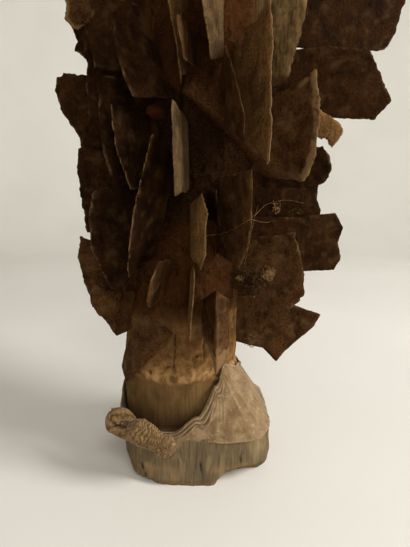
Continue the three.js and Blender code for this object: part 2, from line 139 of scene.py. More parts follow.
def arrays_of(node):
    """A CAD node's corners in millimetres, with doubles joined, and its triangles."""
    mesh = node.data
    mesh.calc_loop_triangles()
    tris = np.zeros(len(mesh.loop_triangles) * 3, np.int32)
    mesh.loop_triangles.foreach_get("vertices", tris)
    places, index = np.unique(np.round(points_of(mesh), 3), axis=0, return_inverse=True)
    tris = index.reshape(-1)[tris.reshape(-1, 3)]
    whole = (tris[:, 0] != tris[:, 1]) & (tris[:, 1] != tris[:, 2]) & (tris[:, 0] != tris[:, 2])
    return places, tris[whole]


def tree_of(points, faces):
    return BVHTree.FromPolygons([Vector(p) for p in points], [tuple(int(i) for i in f) for f in faces])


def placed(name, data):
    """An object in the scene."""
    made = bpy.data.objects.new(name, data)
    bpy.context.scene.collection.objects.link(made)
    return made


def build(name, points, faces, material, replaced, marks):
    """A mesh object from points in millimetres. marks are named numbers, one for each point."""
    mesh = bpy.data.meshes.new(name)
    mesh.from_pydata((points * MM).tolist(), [], [tuple(int(i) for i in f) for f in faces])
    for key, values in marks.items():
        layer = mesh.attributes.new(key, "FLOAT", "POINT")
        layer.data.foreach_set("value", np.asarray(values, np.float32))
    mesh.polygons.foreach_set("use_smooth", [True] * len(mesh.polygons))
    mesh.materials.append(material)
    mesh.update()
    obj = placed(name, mesh)
    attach(obj, "root")
    if replaced:
        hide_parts(*replaced)
    return obj


def ring_faces(rows, columns, closed=False):
    """Quads of a tube whose rows of points close on themselves. If closed, its last row meets its first."""
    faces = []
    for i in range(rows if closed else rows - 1):
        a, b = i * columns, (i + 1) % rows * columns
        for j in range(columns):
            k = (j + 1) % columns
            faces.append((a + j, a + k, b + k, b + j))
    return faces


def end_caps(rows, columns):
    """Triangles that close both ends of such a tube, round the two points that follow its rows."""
    first_centre, last_centre = rows * columns, rows * columns + 1
    last_row = (rows - 1) * columns
    faces = []
    for j in range(columns):
        k = (j + 1) % columns
        faces.append((first_centre, k, j))
        faces.append((last_centre, last_row + j, last_row + k))
    return faces


def joined(parts):
    """Several meshes as one. Each is its points, its faces and its marks."""
    points, faces, marks, count = [], [], {}, 0
    for more, quads, extra in parts:
        points.append(more)
        faces += [tuple(i + count for i in face) for face in quads]
        for key, values in extra.items():
            marks.setdefault(key, []).extend(values)
        count += len(more)
    return np.vstack(points), faces, marks


# Materials

class Shader:
    """A material's node tree, with short calls for the nodes that are used here."""

    def __init__(self, name, roughness, specular, metallic=0.0, sheen=0.0):
        self.material = bpy.data.materials.new(name)
        self.material.use_nodes = True
        self.tree = self.material.node_tree
        self.main = self.tree.nodes["Principled BSDF"]
        rows = {"Roughness": roughness, "Specular IOR Level": specular, "Metallic": metallic}
        self.fill(self.main, rows | {"Sheen Weight": sheen})
        self.place = self.add("TexCoord", "Object", {})

    def add(self, kind, output, inputs, **settings):
        """A node with its settings, and its inputs set or linked. Gives one of its outputs."""
        node = self.tree.nodes.new("ShaderNode" + kind)
        for key, value in settings.items():
            setattr(node, key, value)
        self.fill(node, inputs)
        return node.outputs[output]

    def fill(self, node, inputs):
        for key, value in inputs.items():
            if isinstance(value, bpy.types.NodeSocket):
                self.tree.links.new(value, node.inputs[key])
            else:
                node.inputs[key].default_value = value

    def noise(self, size, detail, stretch=(1, 1, 1), contrast=(0.35, 0.65), distortion=0.0):
        """Noise with lumps of about that size in millimetres, from 0 to 1."""
        place = self.add("Mapping", "Vector", {"Vector": self.place, "Scale": stretch})
        rows = {"Vector": place, "Scale": 1 / (size * MM), "Detail": detail, "Distortion": distortion}
        return self.between(self.add("TexNoise", "Fac", rows), *contrast)

    def between(self, value, low, high, out_low=0.0, out_high=1.0):
        rows = {"Value": value, "From Min": low, "From Max": high, "To Min": out_low, "To Max": out_high}
        return self.add("MapRange", "Result", rows, interpolation_type="SMOOTHSTEP")

    def mark(self, name):
        return self.add("Attribute", "Fac", {}, attribute_name=name)

    def mix(self, share, first, second):
        return self.add("Mix", "Result", {"Factor": share, "A": first, "B": second}, data_type="RGBA")

    def maths(self, how, first, second):
        return self.add("Math", "Value", {0: first, 1: second}, operation=how, use_clamp=True)

    def over(self, colour, share, most, top):
        """A colour with another one over it. The share, from 0 to 1, covers it up to most."""
        return self.mix(self.maths("MULTIPLY", share, most), colour, top)

    def marked(self, colour, name, top):
        """A colour with another one over it where the mark says so."""
        return self.mix(self.mark(name), colour, top)

    def finish(self, colour, height=None, depth=0.0, **more):
        """The material, in that colour and with bumps of that height, up to depth in millimetres."""
        self.fill(self.main, {"Base Color": colour} | more)
        if height is not None:
            rows = {"Strength": BUMP_STRENGTH, "Distance": depth * MM, "Height": height}
            self.fill(self.main, {"Normal": self.add("Bump", "Normal", rows)})
        return self.material


def wood_noises(s):
    """The noises that the wood's colours share, with their lumps' sizes in millimetres."""
    return SimpleNamespace(
        streaks=s.noise(1.7, 5, (1, 1, 0.08), (0.25, 0.75)),
        blotches=s.noise(15, 5, (1, 1, 0.6), (0.3, 0.7), 0.5),
        smears=s.noise(11, 7, (1, 1, 0.4), (0.5, 0.72), 0.7),
        crumbs=s.noise(1.3, 7, contrast=(0.3, 0.72), distortion=0.3),
        soft=s.noise(8, 6, contrast=(0.3, 0.7), distortion=0.8),
        specks=s.noise(1.1, 4, contrast=(0.58, 0.7)),
    )


def plinth_colour(s, n):
    """Grey-brown and streaked, with pale smears."""
    colour = s.mix(n.streaks, linear(92, 76, 54), linear(128, 108, 80))
    colour = s.over(colour, n.blotches, 0.6, linear(88, 78, 64))
    return s.over(colour, n.smears, 0.55, linear(158, 136, 102))


def foot_colour(s, n):
    """The smooth wood above the plinth, dusky where the cloth shades it."""
    colour = s.mix(n.blotches, linear(92, 69, 41), linear(116, 90, 57))
    colour = s.over(colour, n.streaks, 0.3, linear(64, 46, 26))
    return s.marked(colour, "dusk", linear(50, 35, 20))


def crust_colour(s, n):
    """Tan crumbs with dark specks, and a pale rim along the lower edge: tan crumbs with painted highlight."""
    colour = s.mix(n.soft, linear(108, 77, 44), linear(148, 111, 69))
    colour = s.over(colour, n.crumbs, 0.4, linear(88, 60, 33))
    colour = s.over(colour, n.specks, 0.45, linear(60, 38, 20))
    # Pale rim: tan crumbs and painted highlight along the crust's lower edge.
    return s.over(colour, s.mark("rim"), n.soft, linear(172, 136, 92))


def aged_colour(s, n):
    """The neck and the head."""
    colour = s.mix(n.blotches, linear(88, 62, 36), linear(116, 84, 50))
    return s.over(colour, n.streaks, 0.5, linear(74, 50, 28))


def trunk_colour(s, n):
    """Dark reddish crust among the blades, partly its own colour and partly painted shade between them, and
    painted shadow, near black, under the ledge.
    """
    # Among the blades: dark crust, darkened further as painted shade.
    colour = s.mix(n.crumbs, linear(20, 11, 5), linear(60, 37, 19))
    colour = s.over(colour, n.blotches, 0.45, linear(84, 51, 26))
    # Painted shadow under the ledge, near black.
    painted_ledge_shadow = s.mix(n.crumbs, linear(14, 8, 4), linear(46, 28, 14))
    ledge = s.mix(n.crumbs, linear(50, 31, 16), linear(84, 56, 32))
    colour = s.marked(colour, "painted_ledge_shadow", painted_ledge_shadow)
    colour = s.marked(colour, "ledge", ledge)
    return s.marked(colour, "resin", linear(78, 43, 22))


def arm_colour(s, n):
    """The hanging arm, streaked and smeared pale."""
    colour = s.mix(n.streaks, linear(52, 39, 23), linear(98, 78, 49))
    return s.over(colour, n.smears, 0.5, linear(134, 108, 72))


def wood_material():
    """Old wood. The marks say which colour shows where."""
    s = Shader("old_wood", 0.85, specular=0.0)
    n = wood_noises(s)
    colour = s.marked(foot_colour(s, n), "plinth", plinth_colour(s, n))
    colour = s.marked(colour, "crust", crust_colour(s, n))
    colour = s.marked(colour, "aged", aged_colour(s, n))
    # Dark among the blades: partly the crust's colour, partly painted shade.
    colour = s.marked(colour, "dark", trunk_colour(s, n))
    colour = s.marked(colour, "arm", arm_colour(s, n))
    colour = s.marked(colour, "raw", linear(150, 120, 84))
    colour = s.marked(colour, "hollow", linear(36, 23, 13))
    colour = s.marked(colour, "pit", linear(16, 10, 6))
    roughness = s.between(n.crumbs, 0, 1, 0.8, 0.95)
    return s.finish(colour, s.maths("ADD", n.streaks, n.crumbs), 0.3, Roughness=roughness)


def iron_material(name, low, high, dust):
    """Rusted sheet iron between two colours, with dust on it, and edges pale in places: partly wear and
    partly painted highlight where they catch the light.
    """
    s = Shader(name, 0.72, metallic=0.25, specular=0.01)
    blotches = s.noise(14, 6, contrast=(0.3, 0.7), distortion=0.5)
    grains = s.noise(1.5, 6, contrast=(0.35, 0.7))
    streaks = s.noise(3, 5, (1, 1, 0.2), (0.4, 0.8), 0.4)
    colour = s.mix(blotches, low, high)
    colour = s.over(colour, grains, 0.6, linear(15, 9, 5))
    colour = s.over(colour, s.mark("tone"), 0.55, linear(20, 12, 7))
    colour = s.over(colour, streaks, 0.3, high)
    powder = s.maths("MULTIPLY", s.noise(8, 8, contrast=(0.48, 0.74)), dust)
    colour = s.mix(powder, colour, linear(112, 85, 55))
    colour = s.marked(colour, "rust_root", linear(70, 46, 26))
    # Pale edges: partly wear, partly painted highlight along the lit edges.
    worn_and_highlit = s.maths("MULTIPLY", s.mark("edge"), s.noise(10, 4, contrast=(0.48, 0.7)))
    colour = s.over(colour, worn_and_highlit, 0.6, linear(134, 108, 78))
    band = s.maths("MULTIPLY", s.mark("band"), s.noise(6, 5, contrast=(0.3, 0.5)))
    colour = s.over(colour, band, 0.7, linear(138, 109, 74))
    roughness = s.between(blotches, 0, 1, 0.6, 0.85)
    return s.finish(colour, s.maths("ADD", grains, powder), 0.25, Roughness=roughness)


def cloth_material():
    """Stiff old cloth, grey-brown and dusty, browner where it is knotted, with painted shade in its folds and
    painted highlight on its crests.
    """
    s = Shader("stiff_cloth", 0.92, sheen=0.1, specular=0.15)
    weave = s.noise(0.8, 3, contrast=(0.3, 0.7))
    dirt = s.noise(11, 7, contrast=(0.32, 0.68), distortion=0.5)
    dust = s.noise(3, 7, contrast=(0.56, 0.72), distortion=0.3)
    stains = s.noise(6, 8, contrast=(0.5, 0.7), distortion=0.6)
    colour = s.mix(dirt, linear(118, 94, 64), linear(156, 131, 98))
    colour = s.over(colour, weave, 0.35, linear(100, 78, 50))
    colour = s.over(colour, stains, 0.45, linear(98, 74, 47))
    colour = s.over(colour, dust, 0.5, linear(184, 162, 130))
    knot = s.mix(s.noise(2.4, 4), linear(94, 69, 40), linear(138, 108, 69))
    colour = s.marked(colour, "knot", knot)
    # Painted shade in the troughs of the pleats and of the knot's wrinkles.
    colour = s.marked(colour, "painted_fold_shade", linear(44, 30, 17))
    # The hem mark: pale at the hem, and painted highlight on the crests of pleats, creases and strands.
    colour = s.marked(colour, "hem", linear(170, 144, 108))
    return s.finish(colour, s.maths("ADD", weave, dust), 0.25)


def fibre_material():
    """Dry fibre: pale threads, and dark dusty tangles where the mark says so."""
    s = Shader("dry_fibre", 0.95, specular=0.0)
    pale = s.mix(s.noise(2, 3), linear(112, 80, 46), linear(184, 148, 102))
    return s.finish(s.marked(pale, "tangle", linear(46, 29, 15)))


# The wood: one skin, measured from the CAD figure along level lines that run in to an upright axis

WOOD_COLUMNS = 226
WOOD_ROWS = 438
# The columns stand closer together at the front by this share.
FRONT_CLOSER = 0.25
AXIS_STEP = 5
AXIS_BLUR = 9
# The profile that the rows follow: its gap from both ends, its steps, and its steepest step in millimetres.
PROFILE_GAP, PROFILE_STEPS, STEEPEST_STEP = 0.3, 400, 12
# How close the rows stand up to VISIBLE_TOP, up to the neck, and above.
ROW_WEIGHTS = (1.0, 0.62, 0.95)
FAR_OUT = 300
# A blade's slot in columns and rows, and the heights between which slots are tall.
SLOT_COLUMNS, SLOT_ROWS = 3, 5
TALL_SLOTS = (100, 160)
# How often the radius is smoothed, round and up.
HEAD_BLUR, BODY_BLUR, PLINTH_BLUR = (2, 1), (22, 3), (5, 0)
# Heights: the plinth's top, the smooth foot's top, the highest wood in the photograph, the neck.
PLINTH_TOP = 42
SMOOTH_FOOT_TOP = 82
VISIBLE_TOP = 380
NECK_Z = 505
# The lower and the upper end of the trunk that carries blades, each eased between two heights, and four
# limits each for the heights and bearings of the hanging arm.
BLADES_FROM, BLADES_TO = (112, 146), (440, 480)
ARM_HEIGHTS = (304, 316, 455, 480)
ARM_BEARINGS = (32, 44, 100, 116)
# The plinth swells at the right: bearing, width in degrees, height.
PLINTH_SWELL = (75, 30, 1.4)
GRAIN_HEIGHT = 0.25
# Noise on the wood: height, size and seed.
PLINTH_LUMPS = [(0.9, 26, 21), (0.45, 7, 22)]
FOOT_LUMPS = [(0.25, 15, 33)]
CRUST_LUMPS = [(0.8, 11, 31)]
RUBBLE_LUMPS = [(2.0, 8, 34)]
RAGGED_LUMPS = [(1.6, 9, 41)]
CRACK_WANDER = [(2.2, 14, 60), (0.7, 4, 80)]
# A ledge slants down across the front of the trunk: where its lower edge starts, x and z, and its slope.
LEDGE_START = (-8, 301)
LEDGE_SLOPE = 40
LEDGE_LENGTH = 84
LEDGE_WIDTH = 24
LEDGE_HEIGHT = 6
# Under the ledge the trunk is painted near black as its shadow, above these heights.
LEDGE_SHADOW_FROM = (190, 225)
# A lump of resin: x, z and radius.
RESIN_LUMP = (-27, 291, 8)
# Worm holes: how many are strewn, between which heights, their depth, and where their edge eases off.
WORM_HOLES = 46
HOLE_HEIGHTS = (84, 660)
HOLE_DEPTH = 1.8
HOLE_EDGE = (0.7, 1.7)
# Worm holes that the photograph shows: bearing and height.
SEEN_HOLES = [(-12, 96), (16, 104), (-30, 90), (60, 318)]
# Long shrinkage cracks: bearing, lower and upper height, half width, depth.
CRACKS = [
    (-38, 0, 24, 0.5, 1.0), (6, 2, 30, 0.5, 1.0), (34, 12, 34, 0.5, 0.9), (-6, 90, 132, 0.5, 1.3),
    (24, 96, 150, 0.6, 1.6), (-20, 250, 340, 0.8, 3.0), (-4, 392, 470, 0.8, 3.0), (70, 110, 260, 0.9, 3.4),
    (148, 2, 60, 0.9, 3.2), (172, 120, 420, 1.1, 4.2), (-140, 90, 300, 0.9, 3.6),
    (-100, 380, 480, 0.8, 3.0), (-160, 540, 660, 0.7, 1.8),
]


def inward_hit(tree, axis, bearing, z):
    """How far from the axis the solid starts, along a level line from outside."""
    out = Vector((math.sin(bearing), -math.cos(bearing), 0))
    centre = Vector((axis[0], axis[1], z))
    hit = tree.ray_cast(centre + out * FAR_OUT, -out, FAR_OUT)
    return (hit[0] - centre).dot(out) if hit[0] else 0.0


def wood_axis(tree, top):
    """The axis: half way between the figure's sides at each height, smoothed."""
    heights = np.arange(1, top, AXIS_STEP)
    middle = []
    for z in heights:
        right, front, left, back = (inward_hit(tree, (0, 0), math.radians(b), z) for b in (90, 0, -90, 180))
        middle.append(((right - left) / 2, (back - front) / 2))
    padded = np.pad(np.array(middle), ((AXIS_BLUR, AXIS_BLUR), (0, 0)), mode="edge")
    kernel = np.ones(2 * AXIS_BLUR + 1) / (2 * AXIS_BLUR + 1)
    smooth = np.stack([np.convolve(padded[:, k], kernel, "valid") for k in (0, 1)], 1)
    return heights, smooth


def slide(field, across, up, how):
    """The highest or lowest value near each place of a field that wraps round."""
    made = field
    for k in range(1, across + 1):
        made = how(made, how(np.roll(field, k, 1), np.roll(field, -k, 1)))
    base = made
    for k in range(1, up + 1):
        made = how(made, how(np.vstack([base[k:], base[-k:]]), np.vstack([base[:k], base[:-k]])))
    return made


def blur(field, across, up):
    for _ in range(across):
        field = (np.roll(field, 1, 1) + 2 * field + np.roll(field, -1, 1)) / 4
    for _ in range(up):
        grown = np.vstack([field[:1], field, field[-1:]])
        field = (grown[:-2] + 2 * grown[1:-1] + grown[2:]) / 4
    return field


def wood_rows(tree, axis_at, top):
    """Heights of the rows, evenly spread along the profile and closer where the photograph shows the wood."""
    heights = np.linspace(PROFILE_GAP, top - PROFILE_GAP, PROFILE_STEPS)
    bearings = np.radians(np.arange(0, 360, 30))
    reach = np.array([[inward_hit(tree, axis_at(z), b, z) for b in bearings] for z in heights])
    steep = np.abs(np.diff(np.sort(reach, 1)[:, 2:-2].mean(1))) + 0.5 * np.abs(np.diff(reach[:, 0]))
    step = np.hypot(np.diff(heights), np.minimum(steep, STEEPEST_STEP))
    middle = (heights[1:] + heights[:-1]) / 2
    weight = np.select([middle < VISIBLE_TOP, middle < NECK_Z], ROW_WEIGHTS[:2], ROW_WEIGHTS[2])
    along = np.concatenate([[0], np.cumsum(step * weight)])
    return np.interp(np.linspace(0, along[-1], WOOD_ROWS), along, heights)


def rounded(reach, z):
    """The radius, with the blades' slots closed up and the CAD figure's flat sides made round."""
    closed = slide(slide(reach, SLOT_COLUMNS, 0, np.maximum), SLOT_COLUMNS, 0, np.minimum)
    tall = slide(slide(closed, 0, SLOT_ROWS, np.maximum), 0, SLOT_ROWS, np.minimum)
    closed = np.where((z > TALL_SLOTS[0]) & (z < TALL_SLOTS[1]), tall, closed)
    radius = np.where(z > NECK_Z, blur(closed, *HEAD_BLUR), blur(closed, *BODY_BLUR))
    return np.where(z < PLINTH_TOP + 6, blur(closed, *PLINTH_BLUR), radius)


class WoodSkin:
    """The wood's grid of points: rows of one height each, round the axis."""

    def __init__(self, tree, top):
        axis_heights, axis_places = wood_axis(tree, top)

        def axis_at(z):
            return tuple(np.interp(z, axis_heights, axis_places[:, k]) for k in (0, 1))

        levels = wood_rows(tree, axis_at, top)
        turns = np.linspace(-1, 1, WOOD_COLUMNS, endpoint=False)
        self.bearings = math.pi * turns - FRONT_CLOSER * np.sin(math.pi * turns)
        self.degrees = np.degrees(self.bearings)[None]
        self.axes = np.array([axis_at(z) for z in levels])
        reach = [[inward_hit(tree, axis, b, z) for b in self.bearings] for axis, z in zip(self.axes, levels)]
        self.z = np.repeat(levels[:, None], WOOD_COLUMNS, 1)
        self.radius = rounded(np.array(reach), self.z)
        self.ends = [(*self.axes[0], 0.0), (*self.axes[-1], top)]

    def place(self, radius):
        """The grid's points at those distances from the axis."""
        out = np.stack([np.sin(self.bearings), -np.cos(self.bearings)], 1)
        flat = self.axes[:, None, :] + radius[..., None] * out[None]
        return np.concatenate([flat, self.z[..., None]], 2)

    def arc(self, bearing):
        """How far round the surface each point lies from a bearing, in millimetres."""
        away = (self.degrees - bearing + 180) % 360 - 180
        return np.radians(away) * self.radius


def ledge_marks(at):
    """The slanting ledge across the front, 1 along its lower edge, and the painted shadow under it."""
    across, up = at[..., 0] - LEDGE_START[0], at[..., 2] - LEDGE_START[1]
    slope = math.radians(LEDGE_SLOPE)
    inside = across * math.sin(slope) + up * math.cos(slope) + 1.2 * lumps(at, 9, 55)
    along = across * math.cos(slope) - up * math.sin(slope)
    ends = within((-4, 4, LEDGE_LENGTH - 6, LEDGE_LENGTH), along)
    band = ends * within((0, 1.4, 6, LEDGE_WIDTH), inside) * (at[..., 1] < 0)
    # Painted shadow: the trunk under the ledge is darkened above these heights.
    hollow = ease(*LEDGE_SHADOW_FROM, at[..., 2] + 14 * rough(at, 26, 56)) * (1 - ease(-1, 0.8, inside))
    return band, hollow


def resin_mark(at):
    """A small lump of resin on the front of the trunk, at the left."""
    x, z, radius = RESIN_LUMP
    away = np.hypot(at[..., 0] - x, at[..., 2] - z) + 1.2 * lumps(at, 6, 57)
    return (1 - ease(0.3 * radius, radius, away)) * (at[..., 1] < 0)


def wood_zones(skin, at):
    """How far each point belongs to each kind of surface, with the crust's lower edge and its crumbs."""
    z = skin.z
    crust_edge = SMOOTH_FOOT_TOP + 2.5 * lumps(at, 12, 3)
    ledge, painted_ledge_shadow = ledge_marks(at)
    return SimpleNamespace(
        plinth=1 - ease(PLINTH_TOP - 3, PLINTH_TOP + 3, z),
        crust_edge=crust_edge,
        crust=ease(crust_edge - 1, crust_edge + 1.5, z),
        face=ease(NECK_Z, NECK_Z + 20, z),
        blades=ease(*BLADES_FROM, z + 10 * rough(at, 30, 51)) * (1 - ease(*BLADES_TO, z)),
        crumble=0.6 * np.abs(lumps(at, 4.2, 32)) + 0.4 * lumps(at, 2.3, 33),
        ledge=ledge,
        painted_ledge_shadow=painted_ledge_shadow,
        resin=resin_mark(at),
    )


def wood_relief(skin, at, zones):
    """How far the surface stands off the plain radius: grain, lumps, crust, rubble, ledge, ragged foot."""
    grain = lumps(at * (1, 1, 0.07), 1.7, 11) + 0.6 * lumps(at * (1, 1, 0.1), 0.9, 12)
    relief = GRAIN_HEIGHT * grain * (1 - 0.4 * zones.face)
    bearing, wide, high = PLINTH_SWELL
    swell = high * np.exp(-(((skin.degrees - bearing) / wide) ** 2))
    relief += zones.plinth * (swell + pile(at, PLINTH_LUMPS))
    relief += (1 - zones.crust) * (1 - zones.plinth) * pile(at, FOOT_LUMPS)
    bare_crust = 0.5 + pile(at, CRUST_LUMPS) + 0.5 * zones.crumble
    rubble = zones.blades * (1.7 * zones.crumble + pile(at, RUBBLE_LUMPS))
    relief += zones.crust * (1 - 0.75 * zones.face) * (bare_crust + rubble)
    relief += LEDGE_HEIGHT * np.maximum(zones.ledge, zones.resin)
    ragged_foot = (1 - ease(0, 5, skin.z)) * (0.5 + pile(at, RAGGED_LUMPS))
    return relief - np.maximum(ragged_foot, 0)


def crack_mouth(skin, number, bearing, low, high, wide):
    """A long upright crack, 1 along its middle."""
    upright = np.stack([skin.z * 0, skin.z * 0, skin.z], 2)
    wander = pile(upright, CRACK_WANDER, lumps, number)
    ends = within((low, low + 8, high - 12, high), skin.z)
    return np.exp(-(((skin.arc(bearing) - wander) / wide) ** 2)) * ends


def cracks_and_holes(skin):
    """How deep the cracks and worm holes are, and how far each point lies in one."""
    mouths = [(crack[-1], crack_mouth(skin, k, *crack[:-1])) for k, crack in enumerate(CRACKS)]
    chance = np.random.default_rng(5)
    strewn = [(chance.uniform(-180, 180), chance.uniform(*HOLE_HEIGHTS)) for _ in range(WORM_HOLES)]
    for bearing, height in strewn + SEEN_HOLES:
        away = np.hypot(skin.arc(bearing), skin.z - height)
        mouths.append((HOLE_DEPTH, 1 - ease(*HOLE_EDGE, away)))
    depth = sum(deep * mouth for deep, mouth in mouths)
    return depth, np.max([mouth for _, mouth in mouths], axis=0)


def wood_marks(skin, at, zones, pit):
    """The numbers that the wood's material reads at each point."""
    z = skin.z
    chip = ease(1.5, 5, slide(skin.radius, 8, 0, np.maximum) - skin.radius) * (1 - ease(14, 20, z))
    return {
        "plinth": zones.plinth,
        "dusk": 0.8 * (1 - ease(44, 66, z)),
        "crust": zones.crust,
        # The pale rim along the crust's lower edge: tan crumbs and painted highlight.
        "rim": zones.crust * np.exp(-(((z - zones.crust_edge - 5) / 6) ** 2)),
        "aged": 0.85 * ease(445, 500, z),
        # Dark among the blades: the crust's own dark colour with painted shade between the blades. On the
        # crust below them it darkens upwards as painted shadow of the blades.
        "dark": np.maximum(zones.blades, 0.5 * ease(90, 116, z + 12 * rough(at, 20, 52))),
        "ledge": zones.ledge,
        "painted_ledge_shadow": zones.painted_ledge_shadow,
        "resin": zones.resin,
        "arm": 0.9 * within(ARM_BEARINGS, skin.degrees) * within(ARM_HEIGHTS, z),
        "hollow": zones.crust * (0.28 - 0.15 * zones.face) * (1 - ease(-0.15, 0.25, zones.crumble)),
        # Painted shadow under the ledge.
        "raw": np.clip(chip + 0.5 * (1 - ease(0, 4, z)), 0, 1) * 0.5,
        "pit": 0.9 * pit,
    }


def wood_piece():
    """The whole figure as one skin, and the tree of the CAD figure that it was measured on."""
    points, faces = arrays_of(nodes["figure"])
    tree = tree_of(points, faces)
    skin = WoodSkin(tree, points[:, 2].max())
    plain = skin.place(skin.radius)
    zones = wood_zones(skin, plain)
    depth, pit = cracks_and_holes(skin)
    at = skin.place(skin.radius + wood_relief(skin, plain, zones) - depth)
    at[0, :, 2] = 0
    marks = wood_marks(skin, at, zones, pit)
    marks = {key: np.append(value.reshape(-1), [0, 0]) for key, value in marks.items()}
    made = np.vstack([at.reshape(-1, 3), skin.ends])
    faces = ring_faces(WOOD_ROWS, WOOD_COLUMNS) + end_caps(WOOD_ROWS, WOOD_COLUMNS)
    return build("carved_figure", made, faces, wood_material(), ["figure"], marks), tree


# Blades

GRID = 1.35
EDGE_BAND = 2.4
# Further than any blade's thickness or bend, for a line that looks for its faces.
ACROSS_BLADE = 60
# Triangles that face within this cosine of the normal are a blade's front.
FACING = 0.4
# How deep the edge is torn at the root, and how much deeper at the outer end.
TORN_AT_ROOT, TORN_OUTWARDS = 0.35, 1.25
# Bites out of the edge: at least so many and fewer than so many, from which share of the length outwards,
# and their radius.
BITES = (2, 5)
BITES_FROM = 0.45
BITE_RADIUS = (1.2, 3.4)
# The edge's thickness as a share of the middle's.
EDGE_THIN = 0.35
# Noise on a blade: height, size and seed, to which the blade's own number is added.
DENTS = [(0.8, 19, 500), (0.3, 7, 520)]
FRONT_PITS, REAR_PITS = [(0.25, 2.6, 540)], [(0.16, 2.6, 560)]


def crosses(points, tris):
    """Each triangle's normal, twice its area long."""
    a, b, c = points[tris].transpose(1, 0, 2)
    return np.cross(b - a, c - a)


def edges_of(tris):
    """The triangles' edges as pairs of points, the first edge of every triangle first."""
    return np.sort(np.vstack([tris[:, [0, 1]], tris[:, [1, 2]], tris[:, [2, 0]]]), axis=1)


def outline_of(flat, front):
    """The edges that only one front triangle has, as pairs of flat places."""
    pairs, count = np.unique(edges_of(front), axis=0, return_counts=True)
    return flat[pairs[count == 1]].transpose(1, 0, 2)


def distance_to(places, starts, ends):
    """The distance from each place to the nearest of some lines."""
    best = np.full(len(places), 1e9)
    for a, b in zip(starts, ends):
        along = b - a
        t = np.clip(((places - a) @ along) / max(along @ along, 1e-9), 0, 1)
        best = np.minimum(best, np.linalg.norm(places - (a + t[:, None] * along), axis=1))
    return best


def neighbours(field, mode):
    """The four neighbours of each place of a grid, padded in that mode."""
    g = np.pad(field, 1, mode)
    return np.stack([g[:-2, 1:-1], g[2:, 1:-1], g[1:-1, :-2], g[1:-1, 2:]])


def spread(field, known, rounds=60, smoothing=8):
    """Carries the known values of a grid outwards into the rest, then smooths them a little."""
    field = np.where(known, field, field[known].mean())
    for k in range(rounds + smoothing):
        near = neighbours(field, "edge").mean(0)
        field = np.where(known, field, near) if k < rounds else near
    return field


class PlateGrid:
    """A flat grid over a CAD plate: how far each place is inside the outline, and where the middle lies."""

    def __init__(self, points, tris):
        front = self.find_directions(points, tris)
        flat = np.stack([(points - self.centre) @ self.out, (points - self.centre) @ self.up], 1)
        self.low, self.high = flat.min(0) - 2 * GRID, flat.max(0) + 2 * GRID
        steps = (np.arange(self.low[k], self.high[k], GRID) for k in (0, 1))
        self.u, self.v = np.meshgrid(*steps, indexing="ij")
        height, known = self.measure(tree_of(points, tris))
        self.height = spread(height, known)
        places = np.stack([self.u.ravel(), self.v.ravel()], 1)
        from_edge = distance_to(places, *outline_of(flat, tris[front]))
        self.depth = from_edge.reshape(self.u.shape) * np.where(known, 1, -1)
        self.spots = self.place(self.u, self.v, self.height)
        self.outwards = ease(self.low[0] + 8, self.high[0], self.u)

    def find_directions(self, points, tris):
        """Sets the plate's centre and directions, and says which triangles face along the normal."""
        cross = crosses(points, tris)
        facing = unit(cross)
        self.normal = np.linalg.eigh(cross.T @ facing)[1][:, 2]
        self.centre = points.mean(0)
        x, y, _ = self.centre
        out = np.array([x, y, 0]) / np.hypot(x, y)
        out = out - self.normal * (out @ self.normal)
        self.out = out / np.linalg.norm(out)
        self.up = np.cross(self.normal, self.out)
        return facing @ self.normal > FACING

    def place(self, u, v, height):
        flat = self.centre + u[..., None] * self.out + v[..., None] * self.up
        return flat + height[..., None] * self.normal

    def measure(self, tree):
        """How far the plate's middle lies off the grid's plane, and where the grid meets the plate at all."""
        height = np.zeros(self.u.shape)
        known = np.zeros(self.u.shape, bool)
        away = self.normal * ACROSS_BLADE
        for place in np.ndindex(self.u.shape):
            spot = self.centre + self.out * self.u[place] + self.up * self.v[place]
            hit = tree.ray_cast(Vector(spot + away), Vector(-self.normal))[0]
            if hit is None:
                continue
            back = tree.ray_cast(Vector(spot - away), Vector(self.normal))[0]
            known[place] = True
            height[place] = ((np.array(hit) + np.array(back or hit)) / 2 - spot) @ self.normal
        return height, known


def bitten(grid, inside, raggedness, chance):
    """The distances inside the outline, with one more round bite out of it."""
    (low_u, low_v), (high_u, high_v) = grid.low, grid.high
    along = chance.uniform(low_u + BITES_FROM * (high_u - low_u), high_u)
    bite = (along, chance.choice([low_v, high_v]) * chance.uniform(0.5, 1))
    if chance.uniform() < 0.5:
        bite = (high_u - 2, chance.uniform(low_v, high_v))
    size = chance.uniform(*BITE_RADIUS) * raggedness
    gap = np.hypot(grid.u - bite[0], grid.v - bite[1]) - size
    return np.where(grid.depth < size + 1, np.minimum(inside, gap), inside)


def torn(grid, seed, raggedness, chance):
    """How far each place of the grid is inside the blade's torn outline."""
    tear = 1.1 * rough(grid.spots, 6, 100 + seed) + 0.35 * lumps(grid.spots, 1.9, 300 + seed) - 0.35
    inside = grid.depth - 0.25 + raggedness * (TORN_AT_ROOT + TORN_OUTWARDS * grid.outwards) * tear
    for _ in range(int(chance.integers(*BITES))):
        inside = bitten(grid, inside, raggedness, chance)
    return inside


def corners_in(kept):
    """The cells whose four corners are all kept."""
    return kept[:-1, :-1] & kept[1:, :-1] & kept[:-1, 1:] & kept[1:, 1:]


def patch_of(inside):
    """The grid's cells that the blade fills, the points that they use, and those of them on the border."""
    kept = inside > -0.7 * GRID
    cells = largest_patch(corners_in(kept))
    used = np.zeros_like(kept)
    for du in (0, 1):
        for dv in (0, 1):
            used[du:du + cells.shape[0], dv:dv + cells.shape[1]] |= cells
    return cells, used, used & ~np.pad(corners_in(cells), 1)


